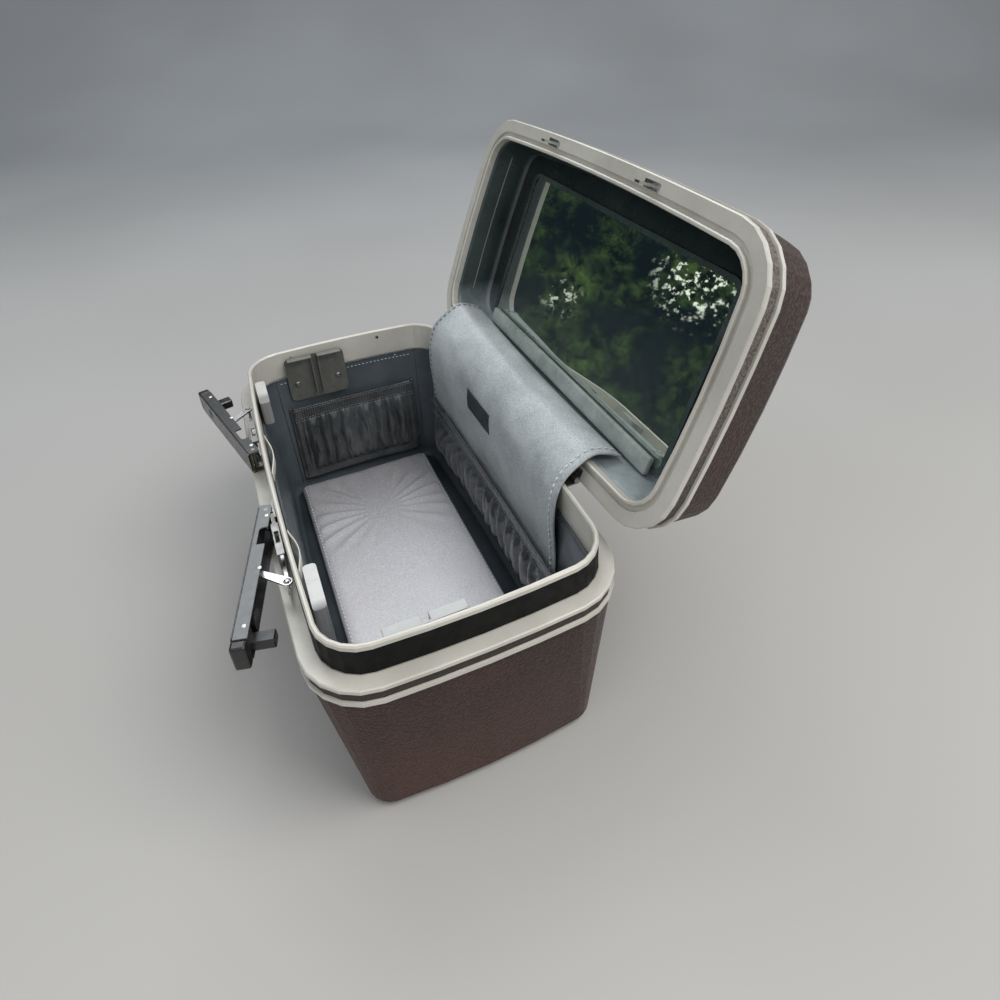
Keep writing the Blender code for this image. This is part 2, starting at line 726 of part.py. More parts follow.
def floor_pad():
    """Padded floor: drawn-in sides, a crown, and puckers that run in from the edge, deepest at one end."""
    floor = LINING_FLOOR + GAP
    middle_y = -PAD_EDGE
    half_depth = PAD_DEPTH / 2
    rings = [(PAD_EDGE * side, floor + PAD_THICK * up, 0.0) for side, up in PAD_RING_SHARES[:3]]
    edge_inset, edge_up = PAD_RING_SHARES[3]
    rings.append((PAD_EDGE * edge_inset, floor + PAD_THICK * edge_up, 1.0))
    for inset_share, crown_share in PAD_TOP_SHARES:
        height = floor + PAD_THICK + PAD_CROWN * crown_share
        rings.append((half_depth * inset_share, height, 1 - crown_share))
    loops = []
    for inset, height, pucker_share in rings:
        corner = max(PAD_CORNER - inset, LEAST_CORNER)
        corners = rounded_rectangle(PAD_LENGTH - 2 * inset, PAD_DEPTH - 2 * inset, corner, 3, (0, middle_y))
        points = with_straights(corners, 3, PAD_POINTS_LONG, PAD_POINTS_SHORT)
        loop = []
        for number, (x, y) in enumerate(points):
            wave = 0.5 + 0.5 * math.cos(2 * math.pi * PAD_PUCKERS * number / len(points))
            far = 0.5 - x / PAD_LENGTH
            weight = (1 - FAR_END_WEIGHT_SHARE) + FAR_END_WEIGHT_SHARE * far
            loop.append((x, y, height - PAD_PUCKER * wave * weight * pucker_share))
        loops.append(loop)
    return loft(loops)


def pocket(span, low, top, folds, behind, wall_point):
    """Gathered pocket with an elastic band along its top and its foot.

    wall_point gives the place of (distance along the wall, depth off the wall, height).
    """
    sections = []
    stations = folds * POCKET_STATIONS_PER_FOLD
    for number in range(stations + 1):
        share = number / stations
        u = span * (share - 0.5)
        edge_fade = min(1.0, min(share, 1 - share) * folds)
        section = [
            (SOFT_GAP, low),
            (SOFT_GAP, low + (top - low) * POCKET_MIDDLE_SHARE),
            (SOFT_GAP + behind, top - POCKET_BAND_TALL),
            (SOFT_GAP + behind, top),
            (SOFT_GAP + behind + POCKET_BAND_THICK, top),
            (SOFT_GAP + behind + POCKET_BAND_THICK, top - POCKET_BAND_TALL),
        ]
        for level, (full_share, height_share) in enumerate(POCKET_FRONT_SHARES):
            turn = 2 * math.pi * folds * share
            slow = math.cos(turn * SLOW_FOLD_SHARE + SLOW_FOLD_PHASE)
            fold = math.cos(turn + level * FOLD_PHASE_STEP) + SLOW_FOLD_DEPTH_SHARE * slow
            depth = POCKET_BAND_THICK + (POCKET_FULLNESS * full_share + FOLD_DEPTH * fold) * edge_fade
            height = low + (top - low) * height_share
            section.append((SOFT_GAP + behind * height_share + depth, height))
        section += [
            (SOFT_GAP + POCKET_BAND_THICK, low + POCKET_BAND_TALL),
            (SOFT_GAP + POCKET_BAND_THICK, low),
        ]
        sections.append([wall_point(u, depth, height) for depth, height in section])
    return loft(sections)


def side_pocket():
    def place(y, depth, height):
        return (depth - lining_x(y, height), y, height)

    return pocket(SIDE_POCKET_SPAN, SIDE_POCKET_LOW, SIDE_POCKET_TOP, SIDE_POCKET_FOLDS, 0.0, place)


def back_pocket():
    def place(x, depth, height):
        return (x, lining_y(x, height) - depth, height)

    behind = FLAP_OFF_LINING + FLAP_THICK
    return pocket(BACK_POCKET_SPAN, BACK_POCKET_LOW, BACK_POCKET_TOP, BACK_POCKET_FOLDS, behind, place)


BRACKET_BACK = lining_x(abs(BRACKET_CENTRE_Y) + BRACKET_SPAN / 2, BRACKET_LOW) - GAP
BRACKET_FACE = BRACKET_BACK - BRACKET_THICK


def tray_bracket():
    """Bracket for a lift-out tray: back plate, two lips and the two fins of the channel between them."""
    tall = BRACKET_TOP - BRACKET_LOW
    middle = (BRACKET_CENTRE_Y, (BRACKET_LOW + BRACKET_TOP) / 2)
    outline = rounded_rectangle(BRACKET_SPAN, tall, BRACKET_CORNER, 3, middle)
    holes = [circle((y, SCREW_HEIGHT), SCREW_SHANK + RUNNING_GAP) for y in screw_places()]
    back = moved(plate([outline, *holes], BRACKET_THICK), ALONG_X)
    back = moved(back, Matrix.Translation((BRACKET_BACK - BRACKET_THICK / 2, 0, 0)))
    pieces = []
    for side in (-1, 1):
        inner = BRACKET_CENTRE_Y + side * BRACKET_CHANNEL_WIDE / 2
        fin_outer = inner + side * BRACKET_THICK
        lip_outer = BRACKET_CENTRE_Y + side * (BRACKET_SPAN / 2 - BRACKET_CORNER / 2)
        into_plate = BRACKET_FACE + BRACKET_THICK / 2
        fin_low = (BRACKET_BACK - BRACKET_FIN_DEEP, min(inner, fin_outer), BRACKET_LOW + BRACKET_CORNER)
        fin_high = (into_plate, max(inner, fin_outer), BRACKET_TOP - BRACKET_THICK / 2)
        pieces.append(box(fin_low, fin_high))
        lip_low = (BRACKET_BACK - BRACKET_LIP, min(inner, lip_outer), BRACKET_TOP - BRACKET_THICK)
        lip_high = (into_plate, max(inner, lip_outer), BRACKET_TOP)
        pieces.append(box(lip_low, lip_high, BRACKET_THICK / 3))
    return join(back, *pieces)


def screw_places():
    return (BRACKET_CENTRE_Y - SCREW_SPREAD, BRACKET_CENTRE_Y + SCREW_SPREAD)


def turned(profile, steps=14):
    """Solid of revolution about Z from (radius, height) points, top to bottom, both ends on the axis."""
    bm = bmesh.new()
    points = [bm.verts.new((radius, 0, height)) for radius, height in profile]
    for above, below in zip(points, points[1:]):
        bm.edges.new((above, below))
    mesh = bpy.data.meshes.new("profile")
    bm.to_mesh(mesh)
    bm.free()
    settings = {
        "axis": "Z",
        "steps": steps,
        "render_steps": steps,
        "use_merge_vertices": True,
        "merge_threshold": MITRE_MERGE,
    }
    return evaluated_mesh(mesh, [("SCREW", settings)])


def bracket_screw(y):
    """Domed screw whose head lies on the bracket's face."""
    head = SCREW_HEAD_TALL
    dome = [(SCREW_HEAD * out, head * up) for out, up in SCREW_DOME_SHARES]
    profile = (
        (0, head),
        *dome,
        (SCREW_HEAD, 0),
        (SCREW_SHANK, 0),
        (SCREW_SHANK, -BRACKET_THICK),
        (0, -BRACKET_THICK),
    )
    stand = Matrix.Translation((BRACKET_FACE - GAP, y, SCREW_HEIGHT)) @ Matrix.Rotation(-math.pi / 2, 4, "Y")
    return moved(turned(profile), stand)


def opened(y, z):
    """Where a point of the shut lid lies once the lid stands open."""
    dy = y - HINGE_Y
    dz = z - HINGE_Z
    c = math.cos(LID_OPEN_ANGLE)
    s = math.sin(LID_OPEN_ANGLE)
    return HINGE_Y + dy * c + dz * s, HINGE_Z - dy * s + dz * c


def lid_wall_inset(rise):
    """Inset of the lid lining's inner face at a height above the land."""
    return LID_INNER + PANEL_DRAFT * rise / PANEL_DEEP


def smooth_through(points, steps):
    """Catmull-Rom curve through plane points."""
    ends = [points[0], *points, points[-1]]
    made = []
    for number in range(len(points) - 1):
        a, b, c, d = (Vector(ends[number + k]) for k in range(4))
        for step in range(steps):
            t = step / steps
            square = (2 * a - 5 * b + 4 * c - d) * t**2
            cube = (3 * b - a - 3 * c + d) * t**3
            made.append((2 * b + (c - a) * t + square + cube) / 2)
    made.append(Vector(points[-1]))
    return made


def flap_line(x):
    """Middle of the cover's thickness, from behind the back pocket over both rims to the lid's back wall."""
    collar = rim_reach_y(x, COLLAR_INNER)
    hem_step = GAP + LINING_THICK
    half = FLAP_THICK / 2
    rise = COLLAR_TOP - FLAP_LOW
    points = []
    for share in FLAP_HEIGHT_SHARES:
        z = FLAP_LOW + rise * share
        wall = lining_y(x, min(z, HEM_HEIGHT)) if z < COLLAR_TOP - BEAD_TALL else collar - hem_step
        points.append((wall - FLAP_OFF_LINING - half, z))
    points.append((collar + BEAD_WIDE / 2 - FLAP_OFF_BEAD, COLLAR_TOP + FLAP_OVER_BEAD + half))
    for rise_share, slack_share in FLAP_LID_SHARES:
        height = FLAP_LID_END * rise_share
        off = FLAP_OFF_LID + half + FLAP_SLACK * slack_share
        wall = rim_reach_y(x, lid_wall_inset(height))
        points.append(opened(wall - off, LAND_HEIGHT + height))
    return smooth_through(points, FLAP_STEPS)


def hinge_flap():
    """Padded vinyl cover over the hinges, in one sheet that follows the bowed walls."""
    sections = []
    for number in range(FLAP_STATIONS + 1):
        x = FLAP_LEFT + (FLAP_RIGHT - FLAP_LEFT) * number / FLAP_STATIONS
        line = flap_line(x)
        outer = []
        inner = []
        for place, point in enumerate(line):
            before = line[max(place - 1, 0)]
            after = line[min(place + 1, len(line) - 1)]
            along = (after - before).normalized()
            across = Vector((along.y, -along.x)) * FLAP_THICK / 2
            outer.append((x, *(point + across)))
            inner.append((x, *(point - across)))
        sections.append(outer + inner[::-1])
    return loft(sections)


def lid_frame():
    """Rim of the lid: land, groove for the collar's bead, inner bead, and the notches for the hinges."""
    top = LAND_HEIGHT + LAND_THICK
    drop = LAND_HEIGHT - LID_BEAD_DROP
    roof = LAND_HEIGHT + GROOVE_DEEP
    profile = rim_outside(LAND_HEIGHT, 1)
    profile += [(FRAME_WALL, LAND_HEIGHT + FRAME_TALL), (FRAME_WALL, top), (LID_INNER, top)]
    profile += [(LID_INNER, drop + EDGE_ROUND), (LID_INNER - EDGE_ROUND, drop)]
    profile += [(GROOVE_INNER + EDGE_ROUND, drop), (GROOVE_INNER, drop + EDGE_ROUND)]
    profile += [(GROOVE_INNER, roof), (GROOVE_OUTER, roof), (GROOVE_OUTER, LAND_HEIGHT)]
    notches = []
    for side in (-1, 1):
        middle = side * HINGE_CENTRE_X
        reach = HINGE_LENGTH / 2 + GAP
        low = (middle - reach, HINGE_Y - LID_LEAF_REACH - GAP, LAND_HEIGHT - OVERRUN)
        high = (middle + reach, HINGE_Y + OVERRUN, HINGE_Z + KNUCKLE_RADIUS + GAP)
        notches.append(box(low, high))
    return cut(rim_section(profile), *notches)


def lid_shell():
    shoulder = LID_TOP - LID_TOP_ROUND
    low = LAND_HEIGHT + FRAME_TALL + GAP
    outer = []
    inner = []
    for step in range(LID_ROUND_STEPS + 1):
        turn = math.radians(90 * step / LID_ROUND_STEPS)
        for rings, wall in ((outer, 0.0), (inner, LID_WALL)):
            radius = LID_TOP_ROUND - wall
            inset = SHELL_SETBACK + LID_DRAFT + wall + radius * (1 - math.cos(turn))
            rings.append(case_ring(shoulder + radius * math.sin(turn), inset))
    return tray(
        outer[::-1] + [case_ring(low, SHELL_SETBACK)],
        [case_ring(low, SHELL_SETBACK + LID_WALL)] + inner,
    )


def lid_lining():
    low = LAND_THICK + GAP
    high = PANEL_DEEP
    rings = []
    for height, thick in ((high, LINING_THICK), (low, LINING_THICK), (low, 0), (high, 0)):
        lift = thick if height == high else 0
        rings.append(case_ring(LAND_HEIGHT + height + lift, lid_wall_inset(height) - thick))
    return tray(rings[:2], rings[2:])


PANEL_FACE = LAND_HEIGHT + PANEL_DEEP - GAP


def mirror_outline(grow):
    corner = MIRROR_CORNER + grow
    centre = (0, MIRROR_CENTRE_Y)
    return rounded_rectangle(MIRROR_LENGTH + 2 * grow, MIRROR_DEPTH + 2 * grow, corner, 4, centre)


def mirror_glass():
    glass = plate([mirror_outline(0)], MIRROR_THICK)
    return moved(glass, Matrix.Translation((0, 0, PANEL_FACE - MIRROR_THICK / 2)))


def mirror_bezel():
    """Frame whose lip holds the glass against the lid's panel."""
    frame = plate([mirror_outline(BEZEL_WIDE - BEZEL_LIP), mirror_outline(-BEZEL_LIP)], BEZEL_TALL)
    moved(frame, Matrix.Translation((0, 0, PANEL_FACE - BEZEL_TALL / 2)))
    seat_deep = MIRROR_THICK + GAP
    seat = plate([mirror_outline(GAP)], seat_deep + OVERRUN)
    moved(seat, Matrix.Translation((0, 0, PANEL_FACE - seat_deep / 2 + OVERRUN / 2)))
    return cut(frame, seat)


def mirror_strip():
    """Padded bar along the back edge of the mirror."""
    top = PANEL_FACE - BEZEL_TALL - GAP
    half = STRIP_BAR_WIDE / 2
    low = (-STRIP_BAR_LENGTH / 2, STRIP_BAR_CENTRE_Y - half, top - STRIP_BAR_TALL)
    high = (STRIP_BAR_LENGTH / 2, STRIP_BAR_CENTRE_Y + half, top)
    return box(low, high, STRIP_BAR_TALL / 3, 2)


def hinge_rod(radius, middle, length):
    half = length / 2
    return rod(radius, (middle - half, HINGE_Y, HINGE_Z), (middle + half, HINGE_Y, HINGE_Z))


def base_hinge_leaf():
    """Leaf on the back of the collar, with the two outer knuckles."""
    x = HINGE_CENTRE_X
    half = HINGE_LENGTH / 2
    back = rim_reach_y(x - half, LEDGE_WIDE) + GAP
    arm_low = HINGE_Z - KNUCKLE_RADIUS
    arm_high = arm_low + LEAF_THICK
    front = back + LEAF_THICK
    edge = [(back, BASE_LEAF_LOW), (front, BASE_LEAF_LOW), (front, arm_low), (HINGE_Y, arm_low)]
    edge += [(HINGE_Y, arm_high), (back, arm_high)]
    leaf = moved(plate([edge], HINGE_LENGTH), Matrix.Translation((x, 0, 0)) @ ALONG_X)
    knuckle = hinge_rod(KNUCKLE_RADIUS, x, HINGE_LENGTH - GAP)
    middle = HINGE_MIDDLE / 2 + GAP
    gap_low = (x - middle, front + GAP, arm_low - OVERRUN)
    gap_high = (x + middle, HINGE_Y + OVERRUN, HINGE_Z + OVERRUN)
    bore = hinge_rod(HINGE_PIN_RADIUS + RUNNING_GAP, x, HINGE_LENGTH + OVERRUN)
    return cut(join(leaf, knuckle), bore, box(gap_low, gap_high))


def lid_hinge_leaf():
    """Leaf in the lid frame's notch, with the middle knuckle."""
    x = HINGE_CENTRE_X
    half = HINGE_LENGTH / 2
    top = HINGE_Z + KNUCKLE_RADIUS
    inner = HINGE_Y - LID_LEAF_REACH
    clear = HINGE_Y - KNUCKLE_RADIUS - GAP
    leaf = box((x - half, inner, top - LEAF_THICK), (x + half, clear, top))
    tail_half = HINGE_MIDDLE / 2
    tail = box((x - tail_half, clear - LEAF_THICK, top - LEAF_THICK), (x + tail_half, HINGE_Y, top))
    knuckle = hinge_rod(KNUCKLE_RADIUS, x, HINGE_MIDDLE - GAP)
    bore = hinge_rod(HINGE_PIN_RADIUS + RUNNING_GAP, x, HINGE_LENGTH)
    return cut(join(leaf, tail, knuckle), bore)


HANDLE_HEIGHT = LID_TOP + HANDLE_RISE
HANDLE_ARM_X = HANDLE_PIVOT_X + POST_THICK / 2 + GAP + BOSS_LENGTH / 2


def handle_path():
    """Half of the folded handle's centre line with the share of the grip's full section at each point."""
    end_x = HANDLE_ARM_X + HANDLE_END_OUT
    turn_centre = (end_x - HANDLE_TURN, HANDLE_TURN - HANDLE_REACH)
    out_share, along_share, full_share = SHOULDER_SHARES
    shoulder = (HANDLE_ARM_X + HANDLE_END_OUT * out_share, -HANDLE_REACH * along_share)
    path = [((HANDLE_ARM_X, 0), 0.0), (shoulder, full_share)]
    for step, point in enumerate(arc(turn_centre, HANDLE_TURN, 0, -90, HANDLE_TURN_STEPS)):
        path.append((point, TURN_START_SHARE + (1 - TURN_START_SHARE) * step / HANDLE_TURN_STEPS))
    for share in GRIP_SHARES:
        path.append((((end_x - HANDLE_TURN) * share, -HANDLE_REACH), 1.0))
    return path


def handle():
    """Bail folded flat towards the latches: an oval grip that thins into two arms with bosses."""
    path = handle_path()
    points = [Vector((*point, 0)) for point, _ in path]
    shares = [share for _, share in path]
    loops = []
    bm = bmesh.new()
    for place, share in enumerate(shares):
        before = points[max(place - 1, 0)]
        after = points[min(place + 1, len(points) - 1)]
        along = (after - before).normalized()
        if place == len(points) - 1:
            along = Vector((-1, 0, 0))
        across = Vector((along.y, -along.x, 0))
        wide = ARM_HALF_WIDE + (GRIP_HALF_WIDE - ARM_HALF_WIDE) * share
        tall = ARM_HALF_TALL + (GRIP_HALF_TALL - ARM_HALF_TALL) * share
        loop = []
        for around in range(HANDLE_SIDES):
            turn = 2 * math.pi * around / HANDLE_SIDES
            offset = across * wide * math.cos(turn) + Vector((0, 0, tall * math.sin(turn) + HANDLE_HEIGHT))
            loop.append(bm.verts.new(points[place] + offset))
        loops.append(loop)
    bm.faces.new(loops[0])
    for first, second in zip(loops, loops[1:]):
        for i in range(HANDLE_SIDES):
            j = (i + 1) % HANDLE_SIDES
            bm.faces.new((first[i], first[j], second[j], second[i]))
    half = new_mesh(bm)
    body = turned_outward(evaluated_mesh(half, [("MIRROR", {"merge_threshold": MERGE_DISTANCE})]))
    bosses = []
    bores = []
    for side in (-1, 1):
        inner = side * (HANDLE_ARM_X - BOSS_LENGTH / 2)
        outer = side * (HANDLE_ARM_X + BOSS_LENGTH / 2)
        bosses.append(rod(BOSS_RADIUS, (inner, 0, HANDLE_HEIGHT), (outer, 0, HANDLE_HEIGHT), PIVOT_SIDES))
        far = (side * (HANDLE_ARM_X + BOSS_LENGTH / 2 - BEAD_ROUND), 0, HANDLE_HEIGHT)
        near = (side * (HANDLE_ARM_X - BOSS_LENGTH / 2 - OVERRUN), 0, HANDLE_HEIGHT)
        bores.append(rod(POST_PIN_RADIUS + RUNNING_GAP, near, far, PIVOT_SIDES))
    return cut(join(body, *bosses), *bores)


def turned_outward(mesh):
    bm = bmesh.new()
    bm.from_mesh(mesh)
    return new_mesh(bm)


def handle_post():
    """Post on the lid's top with the stub pin that the handle's boss turns on."""
    x = HANDLE_PIVOT_X
    foot_low = LID_TOP + GAP
    foot_high = foot_low + POST_FOOT_TALL
    half = POST_FOOT_LENGTH / 2
    side = POST_FOOT_WIDE / 2
    foot = box((x - half, -side, foot_low), (x + half, side, foot_high), EDGE_ROUND / 2, 1)
    head = arc((0, HANDLE_HEIGHT), POST_HALF_WIDE - EDGE_ROUND, 0, 180, 8)
    outline = [(POST_HALF_WIDE, foot_low + EDGE_ROUND), *head, (-POST_HALF_WIDE, foot_low + EDGE_ROUND)]
    riser = moved(plate([outline], POST_THICK), Matrix.Translation((x, 0, 0)) @ ALONG_X)
    start = (x + POST_THICK / 4, 0, HANDLE_HEIGHT)
    end = (x + POST_THICK / 2 + BOSS_LENGTH - BEAD_ROUND - GAP, 0, HANDLE_HEIGHT)
    return join(foot, riser, rod(POST_PIN_RADIUS, start, end, PIVOT_SIDES))


def at_pivot(mesh):
    """Moves a piece drawn from the lever's pivot to its place."""
    return moved(mesh, Matrix.Translation((LEVER_PIVOT_X, LEVER_PIVOT_Y, 0)))


def nose_slot():
    """Cutter for the slot in the collar that the lever's nose enters."""
    low_x = LEVER_PIVOT_X + NOSE_START - NOSE_SWING
    high_x = LEVER_PIVOT_X + NOSE_END + NOSE_SWING
    inner = LEVER_PIVOT_Y + NOSE_REACH + OVERRUN
    outer = LEVER_PIVOT_Y - OVERRUN
    return box((low_x, outer, NOSE_LOW - NOSE_SWING), (high_x, inner, NOSE_TOP + NOSE_SWING))


def lever_channel():
    """Steel channel of the lever, open towards the case, with a mouth for the strike and the link's pin."""
    start = -LEVER_START
    outer = -LEVER_WEB_OUT
    inner = LEVER_EDGE_IN
    deep = inner - LEVER_MOUTH_DEEP
    turn = LEVER_START / 2
    pivot_end = arc((start + turn, inner - turn), turn, 90, 180, 4)
    mouth = arc((LEVER_MOUTH_START + turn, deep + turn), turn, 270, 180, 4)
    free_end = [(start, outer), (LEVER_LENGTH, outer), (LEVER_LENGTH, inner)]
    open_side = [(LEVER_MOUTH_END, inner), (LEVER_MOUTH_END, deep), *mouth, (LEVER_MOUTH_START, inner)]
    hole = circle((0, 0), LEVER_PIN_RADIUS + RUNNING_GAP)
    top = plate([free_end + open_side + pivot_end, hole], LEVER_SHEET)
    bottom = plate([free_end + pivot_end, hole], LEVER_SHEET)
    moved(top, Matrix.Translation((0, 0, LEVER_TOP - LEVER_SHEET / 2)))
    moved(bottom, Matrix.Translation((0, 0, LEVER_LOW + LEVER_SHEET / 2)))
    web = box((start, outer, LEVER_LOW), (LEVER_LENGTH, outer + LEVER_SHEET, LEVER_TOP))
    pin_top = (LINK_PIN_X, LINK_PIN_Y, LEVER_TOP - LEVER_SHEET / 2)
    pin = rod(LINK_PIN_RADIUS, pin_top, (LINK_PIN_X, LINK_PIN_Y, LINK_HEIGHT - LINK_THICK))
    bore = rod(KEYWAY_RADIUS + RUNNING_GAP, keyway_point(outer - OVERRUN), keyway_point(0), PIVOT_SIDES)
    return at_pivot(cut(join(web, top, bottom, pin), bore))


def keyway_point(y):
    return (BARREL_X, y, LEVER_MIDDLE)


def lever_cover():
    """Thin cover over the lever's outer side."""
    length = LEVER_LENGTH + LEVER_START - COVER_MARGIN
    middle = (LEVER_LENGTH - LEVER_START + COVER_MARGIN) / 2
    tall = LEVER_TALL - COVER_MARGIN
    edge = rounded_rectangle(length, tall, SOFT_EDGE_ROUND, 3, (middle, LEVER_MIDDLE))
    hole = circle((BARREL_X, LEVER_MIDDLE), KEYWAY_RADIUS + RUNNING_GAP, PIVOT_SIDES)
    sheet = moved(plate([edge, hole], COVER_THICK), ALONG_Y)
    y = -LEVER_WEB_OUT - GAP - COVER_THICK / 2
    return at_pivot(moved(sheet, Matrix.Translation((0, y, 0))))


def lever_cap():
    """End cap with the nose that reaches through the collar."""
    face = -LEVER_WEB_OUT - GAP - COVER_THICK
    start = LEVER_LENGTH + GAP
    body_low = (start, face, LEVER_LOW)
    body = box(body_low, (start + CAP_LENGTH, LEVER_EDGE_IN, LEVER_TOP), SOFT_EDGE_ROUND, 2)
    clear = LEVER_SHEET + GAP
    tongue_low = (LEVER_LENGTH - CAP_TONGUE, -LEVER_WEB_OUT + clear, LEVER_LOW + clear)
    tongue_high = (start + CAP_LENGTH / 2, LEVER_EDGE_IN - EDGE_ROUND, LEVER_TOP - clear)
    nose_low = (NOSE_START, 0, NOSE_LOW)
    nose = box(nose_low, (NOSE_END, NOSE_REACH, NOSE_TOP), EDGE_ROUND, 1)
    return at_pivot(join(body, box(tongue_low, tongue_high), nose))


def lock_barrel():
    """Turning lock cylinder: its neck shows through the cover and its body lies inside the channel."""
    inner_face = -LEVER_WEB_OUT + LEVER_SHEET + GAP
    outer_face = -LEVER_WEB_OUT - GAP - COVER_THICK - GAP
    body = rod(BARREL_RADIUS, keyway_point(inner_face), keyway_point(inner_face + BARREL_REACH), BARREL_SIDES)
    neck = rod(KEYWAY_RADIUS, keyway_point(outer_face), keyway_point(inner_face + EDGE_ROUND), PIVOT_SIDES)
    wide = KEYWAY_SLOT_WIDE / 2
    tall = KEYWAY_SLOT_LONG / 2
    slot_low = (BARREL_X - wide, outer_face - OVERRUN, LEVER_MIDDLE - tall)
    slot_high = (BARREL_X + wide, outer_face + KEYWAY_SLOT_DEEP, LEVER_MIDDLE + tall)
    return at_pivot(cut(join(body, neck), box(slot_low, slot_high)))


def latch_mount():
    """Plate on the collar with the two ears that hold the lever's pin."""
    back = -rim_reach_y(LEVER_PIVOT_X - MOUNT_HALF_WIDE, LEDGE_WIDE) - GAP - LEVER_PIVOT_Y
    low = LEVER_LOW + LEVER_SHEET + GAP
    high = LEVER_TOP - LEVER_SHEET - GAP
    wall = box((-MOUNT_HALF_WIDE, back - MOUNT_THICK, low), (MOUNT_HALF_WIDE, back, high))
    root = back - MOUNT_THICK / 2
    edge = [(EAR_RADIUS, root), (-EAR_RADIUS, root), *arc((0, 0), EAR_RADIUS, 180, 360, 8)]
    ears = []
    for height in (low + EAR_THICK / 2, high - EAR_THICK / 2):
        hole = circle((0, 0), LEVER_PIN_RADIUS + RUNNING_GAP)
        ears.append(moved(plate([edge, hole], EAR_THICK), Matrix.Translation((0, 0, height))))
    return at_pivot(join(wall, *ears))


def lever_pin():
    return at_pivot(rod(LEVER_PIN_RADIUS, (0, 0, LEVER_LOW), (0, 0, LEVER_TOP)))


def link_ends():
    """Open-pose places of the link's two pins in plan."""
    c = math.cos(-LEVER_OPEN_ANGLE)
    s = math.sin(-LEVER_OPEN_ANGLE)
    start = Vector((LINK_PIN_X * c - LINK_PIN_Y * s, LINK_PIN_X * s + LINK_PIN_Y * c))
    return start + Vector((LEVER_PIVOT_X, LEVER_PIVOT_Y)), Vector((BOLT_PIN_X, BOLT_Y))


def latch_link():
    """Flat link, drawn along X: an eye on the lever's pin and a wider eye on the bolt's pin."""
    start, end = link_ends()
    length = (end - start).length
    near = LINK_PIN_RADIUS + LINK_EYE_WALL
    far = BOLT_PIN_RADIUS + LINK_SLACK + LINK_EYE_WALL
    edge = arc((0, 0), near, 90, 270, 8) + arc((length, 0), far, -90, 90, 10)
    holes = [
        circle((0, 0), LINK_PIN_RADIUS + RUNNING_GAP),
        circle((length, 0), BOLT_PIN_RADIUS + LINK_SLACK, PIVOT_SIDES),
    ]
    strap = plate([edge, *holes], LINK_THICK)
    shift = Vector((LEVER_PIVOT_X + LINK_PIN_X, LEVER_PIVOT_Y + LINK_PIN_Y, LINK_HEIGHT))
    return moved(strap, Matrix.Translation(shift))


def latch_bolt():
    """Sliding bolt: a bar with a hook whose finger locks over the strike's nose."""
    bar_top = BOLT_LOW + BOLT_BAR_TALL
    riser_end = BOLT_HOOK_START + BOLT_HOOK_WALL
    finger_low = BOLT_LOW + BOLT_FINGER_LIFT
    finger_top = finger_low + BOLT_FINGER_TALL
    tip = riser_end + BOLT_FINGER_REACH
    edge = [(BOLT_HOOK_START, BOLT_LOW), (BOLT_END, BOLT_LOW), (BOLT_END, bar_top), (riser_end, bar_top)]
    edge += [(riser_end, finger_low), (tip, finger_low), (tip, finger_top), (BOLT_HOOK_START, finger_top)]
    hook = moved(plate([edge], BOLT_THICK), Matrix.Translation((0, BOLT_Y, 0)) @ ALONG_Y)
    pin_low = (BOLT_PIN_X, BOLT_Y, bar_top - LINK_THICK)
    pin_high = (BOLT_PIN_X, BOLT_Y, LINK_HEIGHT + LINK_THICK)
    return join(hook, rod(BOLT_PIN_RADIUS, pin_low, pin_high))


def bolt_guide():
    """Box that the bolt slides through, with a mouth on top for the strike."""
    inner_half = BOLT_THICK / 2 + GAP
    outer_half = inner_half + GUIDE_WALL
    top = GUIDE_LOW + GUIDE_TALL
    body = box((GUIDE_START, BOLT_Y - outer_half, GUIDE_LOW), (GUIDE_END, BOLT_Y + outer_half, top))
    run = box(
        (GUIDE_START - OVERRUN, BOLT_Y - inner_half, GUIDE_LOW + GUIDE_WALL),
        (GUIDE_END + OVERRUN, BOLT_Y + inner_half, top - GUIDE_WALL),
    )
    mouth = box(
        (GUIDE_MOUTH_START, BOLT_Y - inner_half, top - GUIDE_WALL - OVERRUN),
        (GUIDE_MOUTH_END, BOLT_Y + inner_half, top + OVERRUN),
    )
    return cut(body, run, mouth)


def lid_strike():
    """Strike under the lid's land: a plate with a hanging hook."""
    plate_top = LAND_HEIGHT - GAP
    plate_low = plate_top - STRIKE_PLATE_THICK
    half = STRIKE_PLATE_LENGTH / 2
    inner = BOLT_Y + STRIKE_PLATE_WIDE / 2 - GAP
    pad = box((STRIKE_X - half, inner - STRIKE_PLATE_WIDE, plate_low), (STRIKE_X + half, inner, plate_top))
    left = STRIKE_X - STRIKE_STEM / 2
    right = STRIKE_X + STRIKE_STEM / 2
    nose = left - STRIKE_NOSE
    shoulder = STRIKE_LOW + STRIKE_NOSE_TALL
    edge = [(nose, STRIKE_LOW), (right, STRIKE_LOW), (right, plate_top - GAP), (left, plate_top - GAP)]
    edge += [(left, shoulder), (nose, shoulder)]
    hook = moved(plate([edge], BOLT_THICK - GAP), Matrix.Translation((0, BOLT_Y, 0)) @ ALONG_Y)
    return join(pad, hook)


